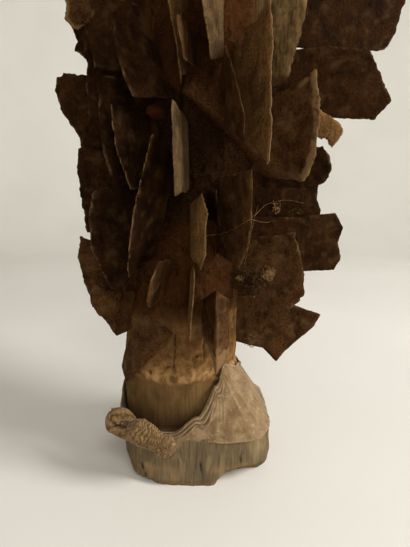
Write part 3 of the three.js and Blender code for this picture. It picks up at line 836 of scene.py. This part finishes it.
def largest_patch(cells):
    """Only the largest connected patch of cells, without corners that touch at one point."""
    label, before = np.arange(1, cells.size + 1).reshape(cells.shape) * cells, None
    while before is None or (label != before).any():
        before = label
        label = np.maximum(label, neighbours(label, "constant").max(0)) * cells
    kept = label == np.bincount(label[cells]).argmax()
    while True:
        a, b, c, d = kept[:-1, :-1], kept[1:, :-1], kept[:-1, 1:], kept[1:, 1:]
        pinch = (a & d & ~b & ~c) | (b & c & ~a & ~d)
        if not pinch.any():
            return kept
        for i, j in np.argwhere(pinch):
            kept[i:i + 2, j:j + 2] = True


def drawn_to_outline(grid, inside, border):
    """The grid's places, with those on the border moved onto the torn outline."""
    gu, gv = np.gradient(inside, GRID)
    size = np.maximum(np.hypot(gu, gv), 0.35)
    shift = np.clip(-inside / size, -0.8 * GRID, 0.8 * GRID) * border
    return grid.u + shift * gu / size, grid.v + shift * gv / size


def plate_sides(grid, u, v, inside, seed):
    """The blade's front and back points, dented, pitted, and thinner towards the edge."""
    dents = pile(grid.spots, DENTS, lumps, seed)
    half = BLADE_THICKNESS / 2 * (EDGE_THIN + (1 - EDGE_THIN) * ease(0, EDGE_BAND, inside))
    middle = grid.height + dents * ease(grid.low[0] + 4, grid.low[0] + 20, u)
    front = middle + half + pile(grid.spots, FRONT_PITS, number=seed)
    rear = middle - half + pile(grid.spots, REAR_PITS, number=seed)
    return grid.place(u, v, front), grid.place(u, v, rear)


def plate_faces(cells, used):
    """Quads of the front, the back and the walls that join them along the patch's border."""
    count = int(used.sum())
    index = np.full(used.shape, -1)
    index[used] = np.arange(count)
    around = np.pad(cells, 1)
    faces, walls = [], []
    for i, j in np.argwhere(cells):
        corners = (index[i, j], index[i + 1, j], index[i + 1, j + 1], index[i, j + 1])
        faces.append(corners)
        faces.append((corners[0] + count, corners[3] + count, corners[2] + count, corners[1] + count))
        for k, (di, dj) in enumerate(((0, -1), (1, 0), (0, 1), (-1, 0))):
            if not around[i + 1 + di, j + 1 + dj]:
                a, b = corners[k], corners[(k + 1) % 4]
                walls.append((a, a + count, b + count, b))
    return faces + walls


def plate_piece(name, seed, material, raggedness):
    """A blade: its CAD plate's outline with torn edges, hammered dents and rust pits."""
    grid = PlateGrid(*arrays_of(nodes[name]))
    chance = np.random.default_rng(seed)
    inside = torn(grid, seed, raggedness, chance)
    cells, used, border = patch_of(inside)
    u, v = drawn_to_outline(grid, inside, border)
    front, rear = plate_sides(grid, u, v, inside, seed)
    root_edge = u + 4 * rough(grid.spots, 9, 580 + seed)
    pale_width = PALE_BANDS.get(name, 0)
    marks = {
        # The edge mark: pale edges, partly wear and partly painted highlight.
        "edge": (1 - ease(0.1, 1.5, inside)) * (0.35 + 0.65 * grid.outwards),
        "rust_root": 0.65 * (1 - ease(grid.low[0] + 8, grid.low[0] + 20, root_edge)),
        "tone": np.full(u.shape, chance.uniform() ** 1.5 if material.name == "dark_iron" else 0),
        "band": ease(0, 1.2, pale_width - inside) * ease(0.6, 0.9, grid.outwards) * (pale_width > 0),
    }
    marks = {key: np.tile(value[used], 2) for key, value in marks.items()}
    points = np.vstack([front[used], rear[used]])
    faces = plate_faces(cells, used)
    return build(name.replace("blade", "iron_blade"), points, faces, material, [name], marks)


# How often a bent blade's triangles are cut finer, and its noise, as for the other blades.
BENT_CUTS = 3
BENT_RELIEF = [(0.175, 9, 700)]
BENT_PITS = [(0.105, 2.6, 720)]
BENT_WARP = [(0.5, 15, 740)]
# How far below its top the slope of a folded blade reaches.
SLOPE_REACH = 50


def split_piece(name, seed, material, slope):
    """A bent or folded blade: its CAD plate cut finer. slope lowers its top on both sides of the ridge."""
    points, tris = arrays_of(nodes[name])
    for _ in range(BENT_CUTS):
        points, tris = finer(points, tris)
    ridge = points[points[:, 1].argmin(), 0]
    top = points[:, 2].max()
    points[:, 2] -= slope * np.abs(points[:, 0] - ridge) * ease(top - SLOPE_REACH, top, points[:, 2])
    normals = np.zeros_like(points)
    for k in range(3):
        np.add.at(normals, tris[:, k], crosses(points, tris))
    normals = unit(normals)
    relief = pile(points, BENT_RELIEF, lumps, seed) + pile(points, BENT_PITS, number=seed)
    warp = np.stack([pile(points, BENT_WARP, lumps, seed + k) for k in range(3)], 1)
    points = points + normals * relief[:, None] + warp
    # Sharp folds and edges take the edge mark: pale, partly wear and partly painted highlight.
    sharp = ease(0.2, 0.6, np.linalg.norm(normals - smooth_normals(normals, tris, 2), axis=1))
    worn_foot = 1 - ease(top - SLOPE_REACH, top - SLOPE_REACH + 12, points[:, 2])
    marks = {"edge": np.clip(sharp, 0, 1), "band": worn_foot * (slope > 0)}
    return build(name.replace("blade", "iron_blade"), points, tris, material, [name], marks)


def smooth_normals(normals, tris, rounds):
    """Normals, each the mean of its own and its neighbours', so many times over."""
    for _ in range(rounds):
        total = normals.copy()
        for a, b in ((0, 1), (1, 2), (2, 0)):
            np.add.at(total, tris[:, a], normals[tris[:, b]])
            np.add.at(total, tris[:, b], normals[tris[:, a]])
        normals = unit(total)
    return normals


def finer(points, tris):
    """Each triangle cut into four at its edges' middles."""
    pairs, index = np.unique(edges_of(tris), axis=0, return_inverse=True)
    a, b, c = tris.T
    ab, bc, ca = len(points) + index.reshape(3, -1)
    made = [np.stack(tri, 1) for tri in ((a, ab, ca), (b, bc, ab), (c, ca, bc), (ab, bc, ca))]
    return np.vstack([points, points[pairs].mean(1)]), np.vstack(made)


# Kinds of iron: two colours, how dusty it is, and its blades. The other blades are the first kind.
IRONS = {
    "dark_iron": ((30, 17, 8), (64, 39, 20), 0.2, ()),
    "dusty_iron": ((54, 34, 18), (92, 62, 36), 0.45, (
        "blade_bent_down", "blade_front_right_folded", "blade_front_right_dark", "blade_front_strip",
        "blade_right_low", "blade_right_front_low", "blade_left_low_corner", "blade_left_low",
        "blade_front_left_sliver", "blade_left_top", "blade_front_right_broad", "blade_front_left_narrow",
    )),
    "tan_iron": ((96, 67, 38), (140, 104, 63), 0.5, (
        "blade_front_leaf", "blade_right_leaf", "blade_front_low", "blade_front_left_tall",
        "blade_front_right_long",
    )),
    "pale_iron": ((72, 54, 35), (108, 86, 58), 0.5, ("blade_front_plate", "blade_front_bright")),
}
# Blades that turn a corner, and how steeply their top falls to both sides of it.
BENT_BLADES = {"blade_bent_down": 0, "blade_front_right_folded": 0.75}
# Blades with hardly a tear in them, and how ragged they are beside the others.
WHOLE_BLADES = ("blade_right_short", "blade_right_middle", "blade_right_low")
HARDLY_RAGGED = 0.4
# Blades whose outer end is worn to a pale band, and the band's width.
PALE_BANDS = {
    "blade_front_right_broad": 5,
    "blade_front_right_long": 1,
    "blade_front_left_inner": 0.5,
    "blade_front_left_dark": 0.4,
    "blade_front_left_swept": 0.5,
    "blade_front_leaf": 1.5,
    "blade_left_top": 3,
}


def blade_pieces():
    materials = {}
    for kind, (low, high, dust, blades) in IRONS.items():
        material = iron_material(kind, linear(*low), linear(*high), dust)
        materials.setdefault("other", material)
        materials.update(dict.fromkeys(blades, material))
    made = []
    for seed, name in enumerate(sorted(n for n in nodes if n.startswith("blade_"))):
        material = materials.get(name, materials["other"])
        if name in BENT_BLADES:
            made.append(split_piece(name, seed, material, BENT_BLADES[name]))
        else:
            made.append(plate_piece(name, seed, material, HARDLY_RAGGED if name in WHOLE_BLADES else 1))
    return made


# The cloth: a strip laid over the plinth's shoulder, drawn up to a point on the right and tied at the left

CLOTH_COLUMNS = 540
CLOTH_STEPS = 68
# How much closer the rows stand at the rim than at the hem, as a power.
TOWARDS_RIM = 1.4
CLOTH_CENTRE = (-6, 0)
# The cloth's mean distance from its centre turns bearings into lengths along it.
CLOTH_ROUND = 61
HEM_Z = 37.5
# The cloth is this share of its thickness at the hem.
HEM_THIN = 0.5
CLOTH_EDGE_Z = 40
LEVEL_STEP = 2
# The rim: bearing, height, how far it stands off the wood.
CLOTH_RIM = [
    (-180, 74, 2), (-120, 66, 2), (-80, 58, 3), (-45, 47, 6), (-12, 46, 6), (8, 58, 5),
    (26, 80, 3), (39, 94, 1.2), (70, 86, 1), (110, 78, 1.2), (180, 74, 2),
]
# The point that the cloth is drawn up to: bearing and height.
GATHER = (36, 95)
# Creases fan out from it: their width in degrees, and the distances between which they show.
CREASE_DEGREES = 6
CREASE_REACH = (2, 8, 34, 72)
# The bundle of pleats under the rim, from the knot to that point.
BUNDLE_FROM, BUNDLE_TO = -30, 40
BUNDLE_WIDTH = 10
BUNDLE_PLEATS = 2.6
PLEAT_HEIGHT = 2.3
CREASE_HEIGHT = 1.1
GATHER_HEIGHT = 0.6
PUCKER_HEIGHT = 0.35
# Noise on the cloth: height, size and seed.
PLEAT_SLIP = [(0.5, 24, 95), (0.16, 6, 94)]
CLOTH_WAVES = [(0.45, 20, 91), (0.3, 6, 92)]


def rim_at(bearing):
    """The rim's height at each bearing, and how far it stands off the wood."""
    rows = np.array(CLOTH_RIM, float)
    upper = np.clip(np.searchsorted(rows[:, 0], bearing), 1, len(rows) - 1)
    low, high = rows[upper - 1], rows[upper]
    t = ease(low[:, 0], high[:, 0], bearing)
    return low[:, 1] + t * (high[:, 1] - low[:, 1]), low[:, 2] + t * (high[:, 2] - low[:, 2])


def cloth_reach(tree, bearings, z, rim_z, rim_off):
    """How far the plain cloth lies from its centre: a straight slope from hem to rim, clear of the wood."""
    levels = np.arange(HEM_Z - 6, rim_z.max() + 8, LEVEL_STEP)
    turns = np.radians(bearings)
    wood = np.array([[inward_hit(tree, CLOTH_CENTRE, turn, level) for turn in turns] for level in levels])
    wood = blur(wood, 6, 1)
    columns = np.arange(len(bearings))

    def wood_at(height):
        place = np.clip((height - levels[0]) / LEVEL_STEP, 0, len(levels) - 1.001)
        low = place.astype(int)
        return wood[low, columns] * (1 - place + low) + wood[low + 1, columns] * (place - low)

    edge = wood_at(np.full(len(bearings), CLOTH_EDGE_Z)) + CLOTH_GAP
    rim = wood_at(rim_z) + rim_off
    above = np.clip((z - CLOTH_EDGE_Z) / (rim_z - CLOTH_EDGE_Z), 0, 1)
    straight = edge + above * (rim - edge)
    near = np.max([wood_at(z + dz) for dz in (-3, 0, 3)], axis=0) + CLOTH_GAP
    return straight + (1 - ease(2.5, 5, rim_off)) * np.maximum(near - straight, 0)


def pleat_bundle(arc, z, rim_z, spot):
    """How far each place is in the bundle of pleats under the rim, and the pleats, from 0 to 1."""
    under = (rim_z - z) / np.hypot(1, np.gradient(rim_z, arc[0]))
    start, stop = (math.radians(b) * CLOTH_ROUND for b in (BUNDLE_FROM, BUNDLE_TO))
    along = np.clip((arc - start) / (stop - start), 0, 1)
    width = BUNDLE_WIDTH * (0.5 + 0.5 * along) * (1 - 0.55 * ease(0.7, 1, along))
    slip = pile(spot, PLEAT_SLIP, lumps)
    pleats = np.abs(np.sin(math.pi * (under / width * BUNDLE_PLEATS + slip)))
    below = ease(width - 1.5, width + 0.8, under + 1.5 * lumps(spot, 9, 93))
    return within((0, 0.15, 0.85, 1), along) * (1 - below), pleats


def fan_creases(arc, z):
    """Creases that spread from the point that the cloth is drawn up to, from 0 to 1."""
    right, up = arc - math.radians(GATHER[0]) * CLOTH_ROUND, z - GATHER[1]
    away = np.hypot(right, up)
    turn = np.degrees(np.arctan2(up, right)) % 360
    rays = lumps(np.stack([turn / CREASE_DEGREES, away / 30, away * 0], 2), 1, 103)
    return np.clip(1 - np.abs(rays) * 3.2, 0, 1) * within(CREASE_REACH, away)


def cloth_relief(arc, z, rim_z, share):
    """The height of pleats, creases and folds over the plain cloth, with painted shade in the pleats' troughs
    and painted highlight on their crests and on the creases.
    """
    spot = np.stack([arc, z, z * 0], 2)
    bundle, pleats = pleat_bundle(arc, z, rim_z, spot)
    fan = fan_creases(arc, z) * (1 - bundle)
    gathers = np.sin(arc / 4.6 + 0.09 * z + 2 * lumps(spot, 25, 97)) * ease(45, 75, np.abs(arc))
    puckers = lumps(spot * (1, 2.5, 1), 3.2, 98) * (1 - ease(0.12, 0.4, share))
    height = bundle * (0.5 + PLEAT_HEIGHT * pleats) + CREASE_HEIGHT * fan + pile(spot, CLOTH_WAVES)
    height += GATHER_HEIGHT * gathers * ease(0.05, 0.5, share) + PUCKER_HEIGHT * puckers
    # Painted shade in the pleats' troughs.
    painted_fold_shade = 0.55 * bundle * (1 - ease(0.05, 0.45, pleats))
    # Painted highlight on the pleats' crests and on the creases.
    pale = 0.3 * bundle * ease(0.6, 1, pleats) + 0.3 * fan
    return height, painted_fold_shade, pale


def cloth_sheet(tree):
    """The strip's points, faces and marks. Its rows run up the outside and down the inside."""
    bearings = np.linspace(-180, 180, CLOTH_COLUMNS, endpoint=False) + 1e-3
    rim_z, rim_off = rim_at(bearings)
    share = (1 - (1 - np.linspace(0, 1, CLOTH_STEPS)) ** TOWARDS_RIM)[:, None]
    arc = np.radians(bearings)[None] * CLOTH_ROUND + 0 * share
    hem_wave = 0.35 * np.sin(arc / 7) + 0.3 * np.sin(arc / 2.7 + 1)
    z = HEM_Z + hem_wave * (1 - share) + share * (rim_z - HEM_Z)
    height, painted_fold_shade, pale = cloth_relief(arc, z, rim_z, share)
    rolled_rim = 0.7 * np.exp(-(((1 - share) / 0.03) ** 2))
    hem_edge = np.exp(-((share / 0.035) ** 2))
    half = CLOTH_THICKNESS / 2 * (HEM_THIN + (1 - HEM_THIN) * ease(0, 0.12, share))
    middle = cloth_reach(tree, bearings, z, rim_z, rim_off) + half
    middle = middle + height * ease(0, 0.08, share) + rolled_rim + 0.3 * hem_edge
    points = []
    for side in (1, -1):
        reach = (middle + side * half)[::side]
        x = CLOTH_CENTRE[0] + reach * np.sin(np.radians(bearings))
        y = CLOTH_CENTRE[1] - reach * np.cos(np.radians(bearings))
        points.append(np.stack([x, y, z[::side]], 2).reshape(-1, 3))
    # The hem mark carries the pale hem and the painted highlight on the crests.
    marks = {"painted_fold_shade": painted_fold_shade, "hem": np.maximum(pale, 0.55 * hem_edge), "knot": 0 * painted_fold_shade}
    marks = {key: np.vstack([value, value[::-1]]).reshape(-1) for key, value in marks.items()}
    return np.vstack(points), ring_faces(2 * CLOTH_STEPS, CLOTH_COLUMNS, closed=True), marks


def cloth_piece(tree):
    """The strip with its knot and tail, as one piece."""
    strands = [strand_mesh(**strand) for strand in (KNOT_BODY, TAIL_LOOP, FRAYED_TIP)]
    points, faces, marks = joined([cloth_sheet(tree)] + strands)
    made = build("cloth_strip", points, faces, cloth_material(), ["cloth_wrap"], marks)
    return made


# The knot and its tail: a line, the radius along it, how flat it is, and the strands twisted in it.
KNOT_BODY = {
    "path": [(-51, -55, 54), (-43, -60.5, 49), (-33, -63, 44.5), (-23, -65, 40.5), (-14.5, -66, 37.6)],
    "radii": [6.5, 10.5, 9.6, 7.4, 9, 6],
    "flat": 0.8,
    "strands": 0,
    "seed": 1,
}
TAIL_LOOP = {
    "path": [
        (-46, -56, 51), (-54, -52, 56), (-61, -50, 57), (-66.5, -49.5, 53),
        (-66, -50, 47.5), (-60, -51.5, 44.5), (-52, -54, 43), (-45, -57, 44),
    ],
    "radii": [4.2, 5, 5.3, 4.8, 4.9, 5.1, 4.4],
    "flat": 0.85,
    "strands": 3,
    "seed": 3,
}
FRAYED_TIP = {
    "path": [(-60, -50, 56), (-64, -49.5, 59.5), (-67, -49.5, 63)],
    "radii": [3, 2.4, 0.8],
    "flat": 0.6,
    "strands": 2,
    "seed": 5,
}
STRAND_AROUND = 84
STRAND_GRAIN = 0.45
# Lengths along a strand: of one wrinkle, and of one turn of its twist.
CRINKLE = 2.1
TWIST_LENGTH = 13
WRINKLE_DEPTH = 1.2
# Noise on a strand: height, size and seed, to which the strand's own seed is added.
STRAND_WANDER = [(2.1, 6, 30), (0.8, 2.6, 31)]
STRAND_SWELL = [(2.2, 9, 50), (0.6, 4, 51)]


def smooth_path(points, count):
    """Places along a smooth line through points."""
    p = np.array(points, float)
    p = np.vstack([2 * p[0] - p[1], p, 2 * p[-1] - p[-2]])
    made = []
    for t in np.linspace(0, len(points) - 1 - 1e-6, count):
        i, f = int(t), t - int(t)
        a, b, c, d = p[i], p[i + 1], p[i + 2], p[i + 3]
        square, cube = 2 * a - 5 * b + 4 * c - d, 3 * b - a - 3 * c + d
        made.append((2 * b + (c - a) * f + square * f**2 + cube * f**3) / 2)
    return np.array(made)


def strand_line(path, length):
    """Places along a strand's middle, and the directions outward from the cloth's centre and to the side."""
    line = smooth_path(path, int(length / STRAND_GRAIN))
    ahead = unit(np.gradient(line, axis=0))
    outward = (line - (*CLOTH_CENTRE, 0)) * (1, 1, 0)
    outward = unit(outward - ahead * (outward * ahead).sum(1)[:, None])
    return line, outward, np.cross(ahead, outward)


def strand_wrinkles(angle, along, size, strands, seed):
    """How high a strand's wrinkles stand, and its ridges from 0 to 1. They wander, or twist round it."""
    rolled = np.stack([along * 0.55, size * np.cos(angle), size * np.sin(angle)], 2)
    wander = pile(rolled, STRAND_WANDER, lumps, seed)
    twisted = strands * angle[None] / (2 * math.pi) + along / TWIST_LENGTH + 0.25 * wander
    phase = twisted if strands else along / CRINKLE + wander
    ridge = np.abs(np.sin(math.pi * phase))
    fine = np.abs(np.sin(math.pi * (2.6 * phase + wander)))
    return WRINKLE_DEPTH * (ridge - 0.8) + 0.3 * fine + pile(rolled, STRAND_SWELL, lumps, seed), ridge


def strand_mesh(path, radii, flat, strands, seed):
    """A crumpled strand along a path, closed at both ends: its points, faces and marks."""
    length = np.linalg.norm(np.diff(np.array(path, float), axis=0), axis=1).sum()
    line, outward, side = strand_line(path, length)
    share = np.linspace(0, 1, len(line))
    size = np.interp(share, np.linspace(0, 1, len(radii)), radii)
    from_end = np.clip(np.minimum(share, 1 - share) * length / size, 0, 1)
    narrowed = np.sqrt(np.clip(1 - (1 - from_end) ** 2, 0.02, 1))[:, None]
    angle = np.linspace(0, 2 * math.pi, STRAND_AROUND, endpoint=False)
    along = (share * length)[:, None] + 0 * angle
    height, ridge = strand_wrinkles(angle, along, size[:, None], strands, seed)
    radial = np.cos(angle)[:, None] * outward[:, None] * flat + np.sin(angle)[:, None] * side[:, None]
    at = line[:, None] + radial * (narrowed * (size[:, None] + height))[..., None]
    points = np.vstack([at.reshape(-1, 3), at[0].mean(0), at[-1].mean(0)])
    faces = ring_faces(len(line), STRAND_AROUND) + end_caps(len(line), STRAND_AROUND)
    # Painted shade in the wrinkles' troughs.
    deep = np.append((0.5 * (1 - ease(0.05, 0.5, ridge))).reshape(-1), [0, 0])
    # Painted highlight on the wrinkles' ridges.
    lit = np.append((0.3 * ease(0.7, 1, ridge)).reshape(-1), [0, 0])
    return points, faces, {"painted_fold_shade": deep, "hem": lit, "knot": np.ones(len(points))}


# Cobweb threads and tufts of fibre, by their places in the photograph. They lie where the camera's line
# through such a place meets the part.

THREADS = [
    [(206, 236), (227, 232), (250, 219), (272, 203), (300, 214)],
    [(258, 205), (250, 238), (243, 274)],
    [(272, 203), (285, 200), (304, 203)],
    [(250, 219), (270, 222), (296, 208)],
]
# Tufts: place, size, how many fibres, and how dark they are.
TUFTS = [
    (269, 274, 6, 150, 0.1), (260, 284, 11, 170, 0.8), (250, 290, 8, 90, 0.9), (244, 270, 8, 90, 0.8),
    (252, 295, 4, 60, 0.9), (240, 278, 4, 40, 0), (252, 340, 7, 80, 0.6), (276, 208, 7, 16, 0),
]
THREAD_RADIUS, THREAD_LIFT, THREAD_SHAKE = 0.08, 0.6, 0.12
FIBRE_RADIUS, TUFT_LIFT = 0.17, 1.0
# Fibres reach less far towards the camera than to the sides.
TUFT_SHAPE = (1, 0.5, 1)
FIBRE_SIDES, FIBRE_STEPS = 4, 7
# A direction that no fibre runs along.
ACROSS_FIBRES = (0.31, 0.93, 0.2)


def seen_ray(px, py):
    """The direction from the camera through a place in the photograph."""
    across = (px - IMAGE_WIDE / 2) / FOCAL_PIXELS
    down = (py - IMAGE_HIGH / 2) / FOCAL_PIXELS
    forward = Vector((0, math.cos(CAMERA_PITCH), -math.sin(CAMERA_PITCH)))
    fall = Vector((0, -math.sin(CAMERA_PITCH), -math.cos(CAMERA_PITCH)))
    return (forward + Vector((1, 0, 0)) * across + fall * down).normalized()


def touched(tree, px, py, lift):
    """Where the camera's line through a place meets the part, lifted off it towards the camera."""
    direction = seen_ray(px, py)
    hit = tree.ray_cast(CAMERA_PLACE / MM, direction)[0]
    return None if hit is None else np.array(hit - direction * lift)


def thin_tube(line, radius):
    """A closed tube along a line."""
    ahead = unit(np.gradient(line, axis=0))
    side = unit(np.cross(ahead, ACROSS_FIBRES))
    other = np.cross(ahead, side)
    angle = np.linspace(0, 2 * math.pi, FIBRE_SIDES, endpoint=False)
    ring = np.cos(angle)[None, :, None] * side[:, None] + np.sin(angle)[None, :, None] * other[:, None]
    faces = ring_faces(len(line), FIBRE_SIDES)
    end = (len(line) - 1) * FIBRE_SIDES
    faces.append(tuple(range(FIBRE_SIDES))[::-1])
    faces.append(tuple(range(end, end + FIBRE_SIDES)))
    return (line[:, None] + radius * ring).reshape(-1, 3), faces


def thread_lines(tree, chance):
    """Cobweb threads, each a line, its radius and how dark it is."""
    lines = []
    for thread in THREADS:
        spots = [touched(tree, *place, THREAD_LIFT) for place in thread]
        spots = [spot for spot in spots if spot is not None]
        if len(spots) > 1:
            line = smooth_path(spots, 10 * len(spots))
            lines.append((line + chance.normal(0, THREAD_SHAKE, line.shape), THREAD_RADIUS, 0))
    return lines


def tuft_lines(tree, chance):
    """The tufts' fibres, each a line, its radius and how dark it is."""
    lines = []
    for px, py, size, count, shade in TUFTS:
        heart = touched(tree, px, py, TUFT_LIFT)
        if heart is None:
            continue
        for _ in range(count):
            way = chance.normal(0, 1, 3) * TUFT_SHAPE
            way = way / np.linalg.norm(way) * size * chance.uniform(0.4, 1)
            bend = chance.normal(0, size * 0.25, 3) * TUFT_SHAPE
            start = heart + chance.normal(0, size * 0.12, 3)
            curve = smooth_path([start, start + way * 0.5 + bend, start + way], FIBRE_STEPS)
            lines.append((curve, FIBRE_RADIUS, shade))
    return lines


def fibre_piece(tree):
    """All threads and tufts, as one piece."""
    chance = np.random.default_rng(17)
    parts = []
    for line, radius, shade in thread_lines(tree, chance) + tuft_lines(tree, chance):
        points, faces = thin_tube(line, radius)
        parts.append((points, faces, {"tangle": [shade] * len(points)}))
    points, faces, marks = joined(parts)
    return build("fibres_and_cobweb", points, faces, fibre_material(), [], marks)


# Camera, floor and light

# The pale sweep, in metres: the floor's radius, the bend's and the wall's height.
SWEEP_FLOOR, SWEEP_BEND, SWEEP_WALL = 1.5, 0.8, 2.2
SWEEP_SIDES, BEND_STEPS = 96, 16
# The hole in the floor's middle is closed with one face.
SWEEP_MIDDLE = 0.02
# Lamps, in metres: name, place, what it points at, width, watts, colour.
LAMPS = [
    ("key", (1.7, -0.6, 1.25), (0, 0, 0.15), 0.85, 40, (1.0, 0.98, 0.95)),
    ("front_fill", (0.35, -1.3, 1.3), (0, 0, 0.25), 0.6, 7, (1.0, 0.98, 0.95)),
    ("backdrop", (0.1, 0.8, 1.7), (0.1, 2.3, 0.5), 1.2, 4.5, (1.0, 0.99, 0.98)),
]
SKY_STRENGTH = 0.18


def make_camera():
    data = bpy.data.cameras.new("camera")
    data.sensor_fit = "VERTICAL"
    data.angle_y = 2 * math.atan(IMAGE_HIGH / 2 / FOCAL_PIXELS)
    data.clip_start = 0.01
    camera = placed("camera", data)
    camera.location = CAMERA_PLACE
    camera.rotation_euler = (math.pi / 2 - CAMERA_PITCH, 0, 0)
    bpy.context.scene.camera = camera


def area_light(name, place, target, size, power, colour):
    data = bpy.data.lights.new(name, "AREA")
    data.shape = "DISK"
    data.size = size
    data.energy = power
    data.color = colour
    lamp = placed(name, data)
    lamp.location = place
    lamp.rotation_euler = (Vector(target) - Vector(place)).to_track_quat("-Z", "Y").to_euler()


def paper_material():
    s = Shader("pale_paper", 0.9, specular=0.1)
    return s.finish(s.mix(s.noise(400, 2), linear(234, 232, 226), linear(238, 236, 230)))


def make_stage():
    """A pale round sweep: a floor whose edge curves up into a wall all round."""
    profile = [(SWEEP_MIDDLE, 0.0), (SWEEP_FLOOR, 0.0)]
    for k in range(1, BEND_STEPS + 1):
        a = k / BEND_STEPS * math.pi / 2
        profile.append((SWEEP_FLOOR + SWEEP_BEND * math.sin(a), SWEEP_BEND - SWEEP_BEND * math.cos(a)))
    profile.append((SWEEP_FLOOR + SWEEP_BEND, SWEEP_WALL))
    turns = [2 * math.pi * k / SWEEP_SIDES for k in range(SWEEP_SIDES)]
    points = [(reach * math.cos(a), reach * math.sin(a), z) for reach, z in profile for a in turns]
    faces = ring_faces(len(profile), SWEEP_SIDES)
    faces.append(tuple(range(SWEEP_SIDES))[::-1])
    mesh = bpy.data.meshes.new("sweep")
    mesh.from_pydata(points, [], faces)
    mesh.flip_normals()
    mesh.polygons.foreach_set("use_smooth", [True] * len(mesh.polygons))
    mesh.materials.append(paper_material())
    obj = placed("sweep", mesh)


def make_light():
    world = bpy.data.worlds.new("studio")
    world.use_nodes = True
    background = world.node_tree.nodes["Background"]
    background.inputs["Color"].default_value = linear(240, 232, 216)
    background.inputs["Strength"].default_value = SKY_STRENGTH
    bpy.context.scene.world = world
    for lamp in LAMPS:
        area_light(*lamp)
    bpy.context.scene.view_settings.view_transform = "Standard"


def tree_of_all(objects):
    """One tree of every piece's triangles, in millimetres."""
    parts = [(points_of(obj.data), [face.vertices for face in obj.data.polygons], {}) for obj in objects]
    points, faces, _ = joined(parts)
    return tree_of(points, faces)


make_camera()
make_stage()
make_light()
wood, figure_tree = wood_piece()
blades = blade_pieces()
cloth = cloth_piece(figure_tree)
fibre_piece(tree_of_all([wood, cloth] + blades))
